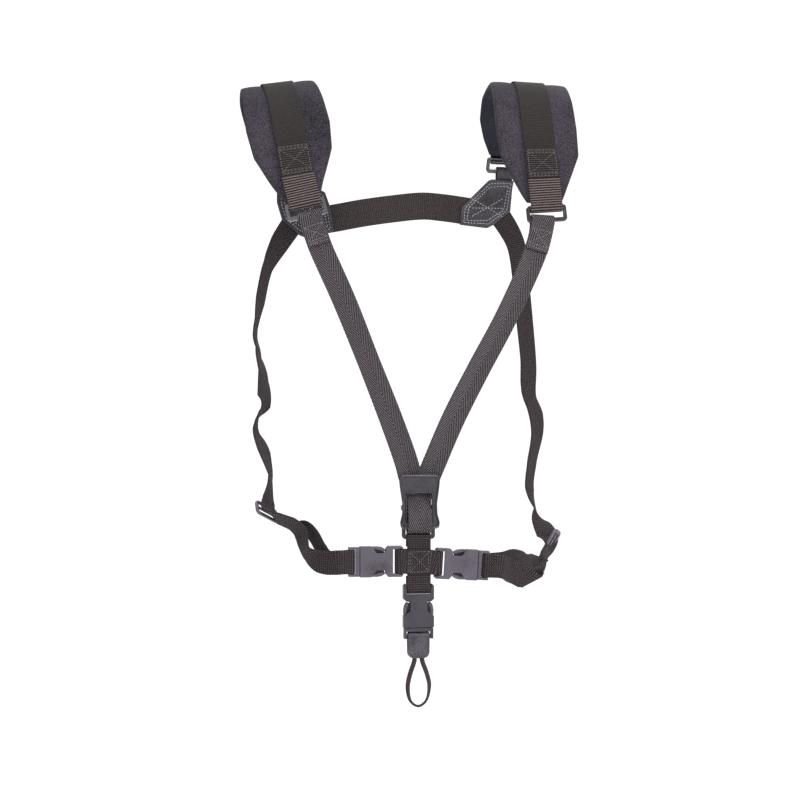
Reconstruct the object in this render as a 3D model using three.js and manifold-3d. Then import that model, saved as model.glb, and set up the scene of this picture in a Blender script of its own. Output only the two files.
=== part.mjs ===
// Shoulder harness that carries a saxophone: two padded yokes, back strap, front strap with a cinch,
// side straps with tri-glides and side-release buckles, and a hanging hook loop.
// Millimetres, +Z up, the wearer's chest faces -Y, origin midway between the pads' crest undersides.
import * as THREE from 'three';
import Module from 'manifold-3d';

const wasm = await Module();
wasm.setup();

// Fabric
const GAP = 0.3; // air between pieces that lie on each other
const WEB_T = 1.6; // webbing thickness
const STRAP_W = 20; // front, side and column webbing
const BACK_W = 25; // back strap
const PAD_WEB_W = 27.6; // webbing on the pads and round the pad rings
const PAD_T = 6.5; // neoprene pad
const LEATHER_T = 1.7;
const FOLD_R = 3.7; // middle of a webbing fold round a ring bar
const BAR_R = 3.1; // the same round a buckle's end bar

// Rectangular rings
const RING_W = 34.5;
const RING_H = 14.5;
const RING_BAR = 3.4;
const RING_SIDE = 2.6;
const RING_REACH = RING_H - RING_BAR; // upper bar to lower bar
const LOWER_RING_W = 28;
const LOWER_RING_H = 12.4;
const LOWER_BAR = 3;

// Side-release buckle, measured along its pull axis from the receptacle's ring end
const BUCKLE_W = 25.8;
const BUCKLE_T = 7;
const RING_END = 14.5;
const WINDOW_END = 27;
const MOUTH_END = 36.5;
const PLUG_START = 37.1;
const PLUG_END = 46;
const CAVITY_HALF_W = 12.1;
const CAVITY_T = 3.8;
const PRONG_T = 3.4;
const END_BAR = 3.2;
const BAR_RECESS = 2.3; // how far the end bar lies below the buckle's faces

// Tri-glide
const GLIDE_W = 27;
const GLIDE_H = 15;
const GLIDE_T = 2.4;

// Key places
const COLUMN_X = 0.7;
const FRONT_Y = -95;
const LOWER_RING_Z = -381;
const CROSS_Z = -406;
const HOOK_BUCKLE_Z = -425;

// Pad routes along the outer skin, front end to rear end: x, y, z, half width, sideways lean
const LEFT_PAD = [
  [-95.5, -87, -101, 15.5, 0.2],
  [-99.5, -84, -84, 24, 0.2],
  [-103, -78, -62, 33.5, 0.18],
  [-106, -66, -38, 36.5, 0.16],
  [-108.5, -44, -12, 36, 0.15],
  [-110, -8, 3.5, 34.5, 0.14],
  [-108, 26, -5, 34, 0.12],
  [-103, 50, -21, 31, 0.1],
  [-97, 65, -37, 24, 0.08],
  [-92.5, 73, -50, 16.5, 0.05],
];
const RIGHT_PAD = [
  [111.8, -87, -102, 15.5, 0],
  [110.5, -84, -84, 24, 0],
  [109.5, -78, -62, 32.5, 0],
  [109, -66, -36, 35.5, 0],
  [110.5, -44, -8, 36, -0.03],
  [113.5, -8, 8.5, 36, -0.04],
  [113, 26, 0, 34, -0.03],
  [112.5, 50, -16, 31, 0],
  [112, 65, -32, 24, 0],
  [111.5, 73, -46, 16.5, 0],
];

// ---------------------------------------------------------------- helpers

function vec(x, y, z) {
  return new THREE.Vector3(x, y, z);
}

function material(color, roughness, metalness = 0) {
  return new THREE.MeshStandardMaterial({ color, roughness, metalness });
}

const NEOPRENE = () => material('#33303a', 0.9);
const PAD_WEBBING = () => material('#2f2b28', 0.85);
const WEBBING = () => material('#3a302c', 0.85);
const HERRINGBONE = () => material('#3d363f', 0.8);
const LEATHER = () => material('#3a373e', 0.6);
const PLASTIC = () => material('#3c3840', 0.45);
const METAL = () => material('#2b282c', 0.35, 0.6);
const CORD = () => material('#3a3234', 0.8);

// Closed body from equal rings of points, with flat ends.
function loft(rings, closed = false) {
  const count = rings[0].length;
  const positions = [];
  const index = [];
  for (const ring of rings) {
    for (const p of ring) {
      positions.push(p.x, p.y, p.z);
    }
  }
  const last = closed ? rings.length : rings.length - 1;
  for (let i = 0; i < last; i += 1) {
    const next = (i + 1) % rings.length;
    for (let k = 0; k < count; k += 1) {
      const a = i * count + k;
      const b = i * count + ((k + 1) % count);
      const c = next * count + ((k + 1) % count);
      const d = next * count + k;
      index.push(a, b, c, a, c, d);
    }
  }
  if (!closed) {
    const end = (rings.length - 1) * count;
    for (let k = 1; k < count - 1; k += 1) {
      index.push(0, k + 1, k);
      index.push(end, end + k, end + k + 1);
    }
  }
  if (signedVolume(positions, index) < 0) {
    index.reverse();
  }
  const geometry = new THREE.BufferGeometry();
  geometry.setAttribute('position', new THREE.Float32BufferAttribute(positions, 3));
  geometry.setIndex(index);
  return geometry;
}

// Negative when the triangles face inwards.
function signedVolume(positions, index) {
  const corner = (i) => new THREE.Vector3().fromArray(positions, index[i] * 3);
  let sum = 0;
  for (let i = 0; i < index.length; i += 3) {
    sum += corner(i).dot(corner(i + 1).cross(corner(i + 2)));
  }
  return sum;
}

// Frame across a route at one place: position, travel direction, width direction and outward face.
function frameAt(path, across, t) {
  const p = path.getPoint(t);
  const along = path.getTangent(t);
  const wide = across.getPoint(t);
  wide.addScaledVector(along, -wide.dot(along)).normalize();
  const out = along.clone().cross(wide).normalize();
  return { p, along, wide, out };
}

// Flat band along route points [x, y, z, width direction x, y, z].
function band(points, width, thickness, steps) {
  const path = new THREE.CatmullRomCurve3(points.map((q) => vec(q[0], q[1], q[2])), false, 'centripetal');
  const across = new THREE.CatmullRomCurve3(points.map((q) => vec(q[3], q[4], q[5])), false, 'centripetal');
  const rings = [];
  for (let i = 0; i <= steps; i += 1) {
    const u = i / steps;
    const { p, wide, out } = frameAt(path, directionCurve(across, points.length), u);
    const h = width / 2;
    const k = thickness / 2;
    rings.push([
      p.clone().addScaledVector(wide, -h).addScaledVector(out, -k),
      p.clone().addScaledVector(wide, h).addScaledVector(out, -k),
      p.clone().addScaledVector(wide, h).addScaledVector(out, k),
      p.clone().addScaledVector(wide, -h).addScaledVector(out, k),
    ]);
  }
  return loft(rings);
}

// Width directions follow the same parameter as the route points, straight between neighbours.
function directionCurve(curve, count) {
  return {
    getPoint(t) {
      const s = Math.min(t * (count - 1), count - 1.000001);
      const i = Math.max(0, Math.floor(s));
      return curve.points[i].clone().lerp(curve.points[i + 1], s - i);
    },
  };
}

function toManifold(geometry) {
  const flat = geometry.index ? geometry : indexed(geometry);
  const mesh = new wasm.Mesh({
    numProp: 3,
    vertProperties: new Float32Array(flat.attributes.position.array),
    triVerts: new Uint32Array(flat.index.array),
  });
  mesh.merge();
  return new wasm.Manifold(mesh);
}

function indexed(geometry) {
  const copy = geometry.clone();
  const count = copy.attributes.position.count;
  copy.setIndex([...Array(count).keys()]);
  return copy;
}

function fromManifold(solid) {
  const mesh = solid.getMesh();
  const geometry = new THREE.BufferGeometry();
  geometry.setAttribute('position', new THREE.Float32BufferAttribute(mesh.vertProperties, 3));
  geometry.setIndex(Array.from(mesh.triVerts));
  return geometry;
}

function box(x0, x1, y0, y1, z0, z1) {
  const geometry = new THREE.BoxGeometry(x1 - x0, y1 - y0, z1 - z0);
  geometry.translate((x0 + x1) / 2, (y0 + y1) / 2, (z0 + z1) / 2);
  return toManifold(geometry);
}

// Outline [x, z] pairs raised into a plate between two y values.
function plate(outline, y0, y1) {
  const shape = new THREE.Shape(outline.map(([x, z]) => new THREE.Vector2(x, z)));
  const geometry = new THREE.ExtrudeGeometry(shape, { depth: y1 - y0, bevelEnabled: false });
  geometry.rotateX(Math.PI / 2);
  geometry.translate(0, y1, 0);
  return toManifold(geometry);
}

function roundedRect(w, h, r) {
  const shape = new THREE.Shape();
  const x = w / 2;
  const y = h / 2;
  shape.moveTo(-x + r, -y);
  shape.lineTo(x - r, -y);
  shape.absarc(x - r, -y + r, r, -Math.PI / 2, 0);
  shape.lineTo(x, y - r);
  shape.absarc(x - r, y - r, r, 0, Math.PI / 2);
  shape.lineTo(-x + r, y);
  shape.absarc(-x + r, y - r, r, Math.PI / 2, Math.PI);
  shape.lineTo(-x, -y + r);
  shape.absarc(-x + r, -y + r, r, Math.PI, Math.PI * 1.5);
  return shape;
}

// Rectangular wire ring in its own plane: x across, y along the pull, z through.
function ringGeometry(w, h, bar, side) {
  const shape = roundedRect(w, h, 3);
  shape.holes.push(roundedRect(w - 2 * side, h - 2 * bar, 1.2));
  const geometry = new THREE.ExtrudeGeometry(shape, { depth: bar, bevelEnabled: false, curveSegments: 4 });
  geometry.translate(0, 0, -bar / 2);
  return geometry;
}

function place(geometry, across, pull, origin) {
  const x = across.clone().normalize();
  const y = pull.clone().addScaledVector(x, -pull.dot(x)).normalize();
  const z = x.clone().cross(y);
  const matrix = new THREE.Matrix4().makeBasis(x, y, z).setPosition(origin);
  return geometry.clone().applyMatrix4(matrix);
}

// ---------------------------------------------------------------- pads

function padRoute(table) {
  const path = new THREE.CatmullRomCurve3(table.map((q) => vec(q[0], q[1], q[2])));
  const shape = directionCurve({ points: table.map((q) => vec(q[3], q[4], 0)) }, table.length);
  return { path, shape };
}

function padFrame(route, t) {
  const p = route.path.getPoint(t);
  const along = route.path.getTangent(t);
  const { x: half, y: lean } = route.shape.getPoint(t);
  const wide = vec(1, 0, lean);
  wide.addScaledVector(along, -wide.dot(along)).normalize();
  const out = wide.clone().cross(along).normalize();
  return { p, along, wide, out, half };
}

function padGeometry(route) {
  const rings = [];
  const steps = 30;
  for (let i = 0; i <= steps; i += 1) {
    const { p, wide, out, half } = padFrame(route, i / steps);
    const section = [
      [-(half - 2.4), 0],
      [-(half - 0.6), -1.5],
      [-half, -3.2],
      [-(half - 0.6), -5],
      [-(half - 2.4), -PAD_T],
      [half - 2.4, -PAD_T],
      [half - 0.6, -5],
      [half, -3.2],
      [half - 0.6, -1.5],
      [half - 2.4, 0],
    ];
    rings.push(section.map(([w, n]) => p.clone().addScaledVector(wide, w).addScaledVector(out, n)));
  }
  return loft(rings);
}

// Route points on the pad, raised above its outer skin.
function onPad(route, from, to, lift, steps) {
  const points = [];
  for (let i = 0; i <= steps; i += 1) {
    const t = THREE.MathUtils.clamp(from + ((to - from) * i) / steps, 0, 1);
    const { p, wide, out } = padFrame(route, t);
    points.push([...p.addScaledVector(out, lift).toArray(), ...wide.toArray()]);
  }
  return points;
}

// Place of the ring's upper bar beyond a pad end, and the directions there.
function padEnd(route, front) {
  const frame = padFrame(route, front ? 0 : 1);
  const pull = frame.along.clone().multiplyScalar(front ? -1 : 1);
  const bar = frame.p.clone().addScaledVector(pull, 4.8).addScaledVector(frame.out, -0.7);
  return { ...frame, pull, bar };
}

// Half turn of webbing round a bar: from its outer side, over the far side, to the inner side.
function turn(centre, pull, out, wide, radius) {
  const points = [];
  for (let i = 0; i <= 6; i += 1) {
    const a = (Math.PI * i) / 6;
    const q = centre.clone().addScaledVector(out, radius * Math.cos(a)).addScaledVector(pull, radius * Math.sin(a));
    points.push([...q.toArray(), ...wide.toArray()]);
  }
  return points;
}

// Webbing end laid over the pad webbing, then folded round the ring's upper bar.
function tabGeometry(route, front, reach) {
  const lift = GAP + WEB_T + GAP + WEB_T / 2;
  const end = padEnd(route, front);
  const laid = onPad(route, front ? reach : 1 - reach, front ? 0 : 1, lift, 5);
  const bent = turn(end.bar, end.pull, end.out, end.wide, FOLD_R);
  return band([...laid, ...bent], PAD_WEB_W, WEB_T, 44);
}

function ringPull(end, swing) {
  const pull = end.pull.clone().add(swing);
  return pull.addScaledVector(end.wide, -pull.dot(end.wide)).normalize();
}

function padRing(end, swing) {
  const pull = ringPull(end, swing);
  const centre = end.bar.clone().addScaledVector(pull, RING_REACH / 2);
  return place(ringGeometry(RING_W, RING_H, RING_BAR, RING_SIDE), end.wide, pull, centre);
}

function lowerBar(end, swing) {
  return end.bar.clone().addScaledVector(ringPull(end, swing), RING_REACH);
}

// ---------------------------------------------------------------- buckles

// Buckle pieces are drawn with the pull axis along +z, width along x, and then placed.
function receptacleSolid() {
  const w = BUCKLE_W / 2;
  const t = BUCKLE_T / 2;
  const outline = [
    [-w, 1.5], [-w + 1.5, 0], [w - 1.5, 0], [w, 1.5],
    [w, RING_END - 2], [w - 2.2, RING_END], [7.2, RING_END + 0.6], [7.2, WINDOW_END - 4.5], [w, WINDOW_END],
    [w, MOUTH_END], [-w, MOUTH_END],
    [-w, WINDOW_END], [-7.2, WINDOW_END - 4.5], [-7.2, RING_END + 0.6], [-w + 2.2, RING_END], [-w, RING_END - 2],
  ];
  const c = CAVITY_T / 2;
  const h = CAVITY_HALF_W;
  return plate(outline, -t, t)
    .subtract(box(-w + 2.6, w - 2.6, -t - 1, t + 1, END_BAR, END_BAR + 5.6))
    .subtract(box(-h, h, -c, c, RING_END - 0.4, MOUTH_END + 1))
    .subtract(box(-w + 2, w - 2, -t - 1, -t + BAR_RECESS, -1, END_BAR + 0.2))
    .subtract(box(-w + 2, w - 2, t - BAR_RECESS, t + 1, -1, END_BAR + 0.2));
}

function plugSolid() {
  const w = BUCKLE_W / 2 - 0.6;
  const t = BUCKLE_T / 2;
  const bar = PLUG_END - END_BAR;
  const guide = box(-2.2, 2.2, -1.4, 1.4, RING_END + 6, PLUG_START + 0.5);
  return box(-w, w, -t, t, PLUG_START, PLUG_END)
    .add(guide)
    .subtract(box(-w + 1.9, w - 1.9, -t - 1, t + 1, PLUG_START + 2.8, bar))
    .subtract(box(-w + 2, w - 2, -t - 1, -t + BAR_RECESS, bar - 0.2, PLUG_END + 1))
    .subtract(box(-w + 2, w - 2, t - BAR_RECESS, t + 1, bar - 0.2, PLUG_END + 1))
    .subtract(box(7.6, 12.2, -2.1, 2.1, PLUG_START - 1, PLUG_START + 1.8))
    .subtract(box(-12.2, -7.6, -2.1, 2.1, PLUG_START - 1, PLUG_START + 1.8));
}

// Sprung arm with a latching head, on the +x side or the -x side.
function prongSolid(side) {
  const outline = [
    [8, PLUG_START + 1.4], [11.8, PLUG_START + 1.4], [11.8, WINDOW_END + 0.6], [11.9, WINDOW_END - 3],
    [11.9, RING_END + 5], [11, RING_END + 2.6], [9, RING_END + 1.2], [8, RING_END + 1.6],
    [7.7, WINDOW_END - 4], [9.2, WINDOW_END - 0.5], [9.4, PLUG_START - 2],
  ];
  const points = outline.map(([x, z]) => [side * x, z]);
  return plate(side > 0 ? points : points.reverse(), -PRONG_T / 2, PRONG_T / 2);
}

// Buckle frame: u is the width, pull the direction from the receptacle to the plug.
function placeBuckle(solid, start, across, pull) {
  const geometry = fromManifold(solid);
  const x = across.clone().normalize();
  const z = pull.clone().normalize();
  const y = z.clone().cross(x);
  geometry.applyMatrix4(new THREE.Matrix4().makeBasis(x, y, z).setPosition(start));
  return geometry;
}

// ---------------------------------------------------------------- patches and cinch

function patchGeometry(outline, y0, y1) {
  return fromManifold(plate(outline, y0, y1));
}

function sliderGeometry() {
  const outline = [
    [-15.2, -332.6], [15.2, -333], [17.6, -335.4], [17, -342], [15, -358], [16.4, -375], [14.6, -377.4],
    [-14, -377.4], [-15.6, -375], [-14.6, -358], [-16.8, -342], [-17.4, -335],
  ];
  const front = FRONT_Y - 8.2;
  const back = FRONT_Y - 4.6;
  return fromManifold(
    plate(outline, front, back)
      .subtract(box(-11.2, 11.2, front - 1, back + 1, -373.2, -348.6))
      .add(box(-14.4, -11.4, back - 1, FRONT_Y + 6.2, -362, -358))
      .add(box(11.4, 14.4, back - 1, FRONT_Y + 6.2, -362, -358))
      .add(box(-14.4, 14.4, FRONT_Y + 3.2, FRONT_Y + 6.2, -362, -358))
      .translate([COLUMN_X, 0, 0]),
  );
}

function glideGeometry() {
  const w = GLIDE_W / 2;
  const h = GLIDE_H / 2;
  const front = 5.4;
  const frame = plate([[-w, -h], [w, -h], [w, h], [-w, h]], -front - GLIDE_T, -front + 0.2)
    .subtract(box(-w + 2.6, w - 2.6, -front - GLIDE_T - 1, -front + 1, -h + 2.8, h - 2.8));
  return frame
    .add(box(-w, -w + 2.6, -front - 1, 5, -1.6, 1.6))
    .add(box(w - 2.6, w, -front - 1, 5, -1.6, 1.6))
    .add(box(-w, w, 3, 5, -1.6, 1.6));
}

// Hanging loop: flat cord pressed to a slim oval section.
function loopGeometry() {
  const x = COLUMN_X;
  const y = FRONT_Y;
  const path = new THREE.CatmullRomCurve3([
    vec(x - 3, y, -482.5),
    vec(x - 3.4, y, -490),
    vec(x - 7, y, -501),
    vec(x - 9, y, -512),
    vec(x - 6.5, y, -524),
    vec(x, y, -528.2),
    vec(x + 6.5, y, -524),
    vec(x + 9.4, y, -511),
    vec(x + 7, y, -500),
    vec(x + 3.4, y, -490),
    vec(x + 3, y, -482.5),
  ]);
  const rings = [];
  for (let i = 0; i <= 48; i += 1) {
    const p = path.getPoint(i / 48);
    const along = path.getTangent(i / 48);
    const wide = vec(along.z, 0, -along.x).normalize();
    const ring = [];
    for (let k = 0; k < 8; k += 1) {
      const a = (Math.PI * 2 * k) / 8;
      ring.push(p.clone().addScaledVector(wide, 2 * Math.cos(a)).add(vec(0, 2 * Math.sin(a), 0)));
    }
    rings.push(ring);
  }
  return loft(rings);
}

// ---------------------------------------------------------------- assembly

const harness = new THREE.Group();
harness.name = 'saxophone_harness';

function add(name, geometry, surface) {
  const mesh = new THREE.Mesh(geometry, surface);
  mesh.name = name;
  harness.add(mesh);
}

const leftPad = padRoute(LEFT_PAD);
const rightPad = padRoute(RIGHT_PAD);

function buildPad(side, route) {
  add(`${side}_pad`, padGeometry(route), NEOPRENE());
  const web = onPad(route, 0.01, 0.99, GAP + WEB_T / 2, 24);
  add(`${side}_pad_webbing`, band(web, PAD_WEB_W, WEB_T, 48), PAD_WEBBING());
  add(`${side}_front_tab`, tabGeometry(route, true, 0.22), WEBBING());
  add(`${side}_rear_tab`, tabGeometry(route, false, 0.14), WEBBING());
  add(`${side}_front_ring`, padRing(padEnd(route, true), FRONT_SWING[side]), METAL());
  add(`${side}_rear_ring`, padRing(padEnd(route, false), REAR_SWING), METAL());
}

// How far each ring swings from the pad's own direction towards its strap
const FRONT_SWING = { left: vec(0.15, 0, -0.1), right: vec(-0.2, 0, -0.1) };
const REAR_SWING = vec(0, 0.1, -0.5);

buildPad('left', leftPad);
buildPad('right', rightPad);

// Front strap: left sewn end, down to the cinch, round the lower ring, and up to the right sewn end.
function frontStrap() {
  const left = padEnd(leftPad, true);
  const right = padEnd(rightPad, true);
  const leftBar = lowerBar(left, FRONT_SWING.left);
  const rightBar = lowerBar(right, FRONT_SWING.right);
  const low = vec(COLUMN_X, FRONT_Y, LOWER_RING_Z + (LOWER_RING_H - LOWER_BAR) / 2);
  const points = [];
  points.push([leftBar.x + 8, leftBar.y + 3.4, leftBar.z - 19, 0.95, 0, 0.25]);
  points.push([leftBar.x + 4, leftBar.y + 3.3, leftBar.z - 10, 0.95, 0, 0.25]);
  for (let i = 0; i <= 6; i += 1) {
    const a = (Math.PI * i) / 6;
    points.push([
      leftBar.x + 0.4,
      leftBar.y + FOLD_R * Math.cos(a),
      leftBar.z + FOLD_R * Math.sin(a),
      0.97, 0, 0.22,
    ]);
  }
  points.push([leftBar.x + 6, leftBar.y - 3.3, leftBar.z - 14, 0.96, 0, 0.25]);
  points.push([-78, -93, -146, 0.94, 0.1, 0.3]);
  points.push([-61, -95, -188, 0.93, 0.2, 0.34]);
  points.push([-41, -96, -237, 0.88, 0.35, 0.34]);
  points.push([-21, -97, -287, 0.93, 0.1, 0.36]);
  points.push([-7.5, -97, -324, 0.94, 0, 0.35]);
  points.push([-3, -96.7, -337, 0.97, 0, 0.2]);
  points.push([COLUMN_X, -96.3, -354, 1, 0, 0]);
  points.push([COLUMN_X, -96.3, -368, 1, 0, 0]);
  for (let i = 0; i <= 6; i += 1) {
    const a = (Math.PI * i) / 6;
    points.push([low.x, low.y - 3.4 * Math.cos(a), low.z - 3.4 * Math.sin(a), 1, 0, 0]);
  }
  points.push([COLUMN_X, -93.7, -368, 1, 0, 0]);
  points.push([COLUMN_X, -93.7, -354, 1, 0, 0]);
  points.push([6, -93.4, -338, 0.95, 0, -0.28]);
  points.push([12.5, -93.2, -324, 0.93, 0, -0.38]);
  points.push([30, -94, -286, 0.9, 0, -0.42]);
  points.push([52, -95, -245, 0.88, 0, -0.45]);
  points.push([73, -94, -207, 0.88, 0, -0.45]);
  points.push([90, -92.5, -173, 0.9, 0, -0.4]);
  points.push([102, -92, -143, 0.97, 0, -0.2]);
  points.push([rightBar.x - 1.5, rightBar.y - 3.3, rightBar.z - 13, 0.99, 0, -0.08]);
  for (let i = 6; i >= 0; i -= 1) {
    const a = (Math.PI * i) / 6;
    points.push([
      rightBar.x - 0.4,
      rightBar.y + FOLD_R * Math.cos(a),
      rightBar.z + FOLD_R * Math.sin(a),
      1, 0, 0,
    ]);
  }
  points.push([rightBar.x - 1.2, rightBar.y + 3.3, rightBar.z - 10, 1, 0, -0.06]);
  points.push([rightBar.x - 3, rightBar.y + 3.6, rightBar.z - 19, 0.99, 0, -0.12]);
  return band(points, STRAP_W, WEB_T, 150);
}

add('front_strap', frontStrap(), HERRINGBONE());
add('front_slider', sliderGeometry(), PLASTIC());

function lowerRing() {
  const centre = vec(COLUMN_X, FRONT_Y, LOWER_RING_Z);
  return place(ringGeometry(LOWER_RING_W, LOWER_RING_H, LOWER_BAR, LOWER_BAR), vec(1, 0, 0), vec(0, 0, -1), centre);
}

add('lower_ring', lowerRing(), METAL());

// Column webbing from the lower ring's lower bar to the hook buckle's ring end.
function columnWebbing() {
  const top = LOWER_RING_Z - (LOWER_RING_H - LOWER_BAR) / 2;
  const bottom = HOOK_BUCKLE_Z - END_BAR / 2;
  const points = [];
  const at = (y, z) => points.push([COLUMN_X, y, z, 1, 0, 0]);
  at(FRONT_Y + BAR_R, bottom + 8);
  for (let i = 0; i <= 6; i += 1) {
    const a = (Math.PI * i) / 6;
    at(FRONT_Y + BAR_R * Math.cos(a), bottom - BAR_R * Math.sin(a));
  }
  at(FRONT_Y - BAR_R, bottom + 8);
  at(FRONT_Y - BAR_R, CROSS_Z);
  at(FRONT_Y - BAR_R, top - 3);
  for (let i = 6; i >= 0; i -= 1) {
    const a = (Math.PI * i) / 6;
    at(FRONT_Y + BAR_R * Math.cos(a), top + BAR_R * Math.sin(a));
  }
  at(FRONT_Y + BAR_R, top - 8);
  return band(points, STRAP_W, WEB_T, 60);
}

add('column_webbing', columnWebbing(), WEBBING());

// Cross webbing between the two side receptacles, over the column.
const SIDE_START = 13.5;
function crossWebbing() {
  const points = [];
  const cross = FRONT_Y - BAR_R - WEB_T - GAP;
  const left = SIDE_BUCKLES.left;
  const right = SIDE_BUCKLES.right;
  const leftBar = left.start.clone().addScaledVector(left.pull, END_BAR / 2);
  const rightBar = right.start.clone().addScaledVector(right.pull, END_BAR / 2);
  const at = (x, y, z, lean = 0) => points.push([x, y, z, lean, 0, 1]);
  at(leftBar.x + 7, leftBar.y + BAR_R, leftBar.z);
  for (let i = 0; i <= 6; i += 1) {
    const a = (Math.PI * i) / 6;
    at(leftBar.x - BAR_R * Math.sin(a), leftBar.y + BAR_R * Math.cos(a), leftBar.z);
  }
  at(-10, cross - 0.1, CROSS_Z);
  at(0, cross, CROSS_Z);
  at(10, cross - 0.1, CROSS_Z);
  for (let i = 6; i >= 0; i -= 1) {
    const a = (Math.PI * i) / 6;
    at(rightBar.x + BAR_R * Math.sin(a), rightBar.y + BAR_R * Math.cos(a), rightBar.z, 0.06);
  }
  at(rightBar.x - 7, rightBar.y + BAR_R, rightBar.z, 0.06);
  return band(points, STRAP_W, WEB_T, 84);
}

const SIDE_Y = FRONT_Y - 2.2;
const SIDE_BUCKLES = {
  left: { start: vec(COLUMN_X - SIDE_START, SIDE_Y, -405.5), pull: vec(-1, 0, 0) },
  right: { start: vec(COLUMN_X + SIDE_START, SIDE_Y, -407.5), pull: vec(0.998, 0, -0.06).normalize() },
};
add('cross_webbing', crossWebbing(), WEBBING());

// Buckles: the side pair pulls outwards, the hook's pulls down.
function buildBuckle(side, names, start, across, pull) {
  add(`${side}_receptacle`, placeBuckle(receptacleSolid(), start, across, pull), PLASTIC());
  add(`${side}_plug`, placeBuckle(plugSolid(), start, across, pull), PLASTIC());
  add(`${side}_prong_${names[0]}`, placeBuckle(prongSolid(1), start, across, pull), PLASTIC());
  add(`${side}_prong_${names[1]}`, placeBuckle(prongSolid(-1), start, across, pull), PLASTIC());
}

const UP = vec(0, 0, 1);
const RIGHT_ACROSS = vec(0.06, 0, 0.998).normalize();
buildBuckle('left', ['upper', 'lower'], SIDE_BUCKLES.left.start, UP, SIDE_BUCKLES.left.pull);
buildBuckle('right', ['upper', 'lower'], SIDE_BUCKLES.right.start, RIGHT_ACROSS, SIDE_BUCKLES.right.pull);
buildBuckle('hook', ['right', 'left'], vec(COLUMN_X, FRONT_Y, HOOK_BUCKLE_Z), vec(1, 0, 0), vec(0, 0, -1));

// Leather tab folded round the hook plug's bar, with the loop's ends held between its layers
function hookTab() {
  const z = HOOK_BUCKLE_Z - PLUG_END + END_BAR / 2;
  const points = [];
  const at = (y, zz) => points.push([COLUMN_X, y, zz, 1, 0, 0]);
  at(FRONT_Y + 3.3, z - 18);
  at(FRONT_Y + 3.2, z - 9);
  for (let i = 0; i <= 4; i += 1) {
    const a = (Math.PI * i) / 4;
    at(FRONT_Y + 3.2 * Math.cos(a), z + 3.2 * Math.sin(a));
  }
  at(FRONT_Y - 3.2, z - 9);
  at(FRONT_Y - 3.3, z - 18);
  return band(points, 18.5, LEATHER_T, 34);
}

add('hook_tab', hookTab(), LEATHER());
add('hook_loop', loopGeometry(), CORD());

// Leather patches behind the shoulders
const PATCH_Y = 82;
const LEFT_PATCH = [
  [-102, -77], [-79, -78], [-57, -82], [-52, -96], [-49, -118], [-62, -121], [-74, -124],
  [-80, -122], [-96, -109], [-101, -92],
];
const RIGHT_PATCH = [
  [99, -77], [119, -78], [117, -98], [101, -110.5], [95.5, -113.5], [69.5, -110.5],
  [70.3, -95], [73, -84],
];

function buildPatch(side, outline, end) {
  add(`${side}_patch_front`, patchGeometry(outline, PATCH_Y - 3.6, PATCH_Y - 3.6 + LEATHER_T), LEATHER());
  add(`${side}_patch_back`, patchGeometry(outline, PATCH_Y + 1.9, PATCH_Y + 1.9 + LEATHER_T), LEATHER());
  const bar = lowerBar(end, REAR_SWING);
  const points = [];
  const at = (y, z) => points.push([bar.x, y, z, 1, 0, 0]);
  const up = ringPull(end, REAR_SWING).negate();
  const back = end.wide.clone().cross(up);
  back.multiplyScalar(Math.sign(back.y));
  at(PATCH_Y + 0.95, -86);
  at(PATCH_Y + 0.95, -78);
  points.push(...turn(bar, up, back, end.wide, 3.5));
  at(PATCH_Y - 0.95, -78);
  at(PATCH_Y - 0.95, -86);
  add(`${side}_ring_tongue`, band(points, 15, 1.4, 40), LEATHER());
}

buildPatch('left', LEFT_PATCH, padEnd(leftPad, false));
buildPatch('right', RIGHT_PATCH, padEnd(rightPad, false));

const BACK_STRAP = [
  [-67, PATCH_Y, -109, 0, 0, 1],
  [-49, PATCH_Y, -106, 0, 0, 1],
  [-22, 87, -100.5, 0, 0, 1],
  [7, 90, -96, 0, 0, 1],
  [36, 90, -93, 0, 0, 1],
  [54, 87, -94.5, 0, 0, 1],
  [70, PATCH_Y, -97, 0, 0, 1],
  [84, PATCH_Y, -99, 0, 0, 1],
];
add('back_strap', band(BACK_STRAP, BACK_W, WEB_T, 40), PAD_WEBBING());

// Side straps: x, y, z and the direction across the webbing
const LEFT_SIDE = [
  [-82, PATCH_Y, -104, 0.8, 0, -0.6],
  [-88, PATCH_Y, -113, 0.78, 0, -0.6],
  [-99, PATCH_Y, -130, 0.66, 0.35, -0.6],
  [-110, 76, -151, 0.46, 0.83, -0.32],
  [-118, 65, -182, 0.45, 0.88, -0.1],
  [-122.5, 55, -203, 0.2, 0.95, 0.2],
  [-124, 44, -216, 0.12, 0.9, 0.4],
  [-122.5, 33, -230, 0.05, 0.9, 0.4],
  [-119.5, 18, -250, 0.15, 0.85, 0.5],
  [-121, -2, -273, 0.4, 0.8, 0.4],
];
const RIGHT_SIDE = [
  [101, PATCH_Y, -95, 0.78, 0, 0.62],
  [109, PATCH_Y, -104, 0.78, 0, 0.62],
  [122, 80, -128, 0.8, 0.3, 0.3],
  [126, 72, -168, 0.85, 0.5, 0],
  [126.5, 58, -206, 0.85, 0.5, 0],
  [125, 38, -239, 0.75, 0.6, 0],
  [120, 14, -266, 0.65, 0.7, 0],
];
add('left_side_strap', band(LEFT_SIDE, STRAP_W, WEB_T, 54), WEBBING());
add('right_side_strap', band(RIGHT_SIDE, STRAP_W, WEB_T, 44), WEBBING());

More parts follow.
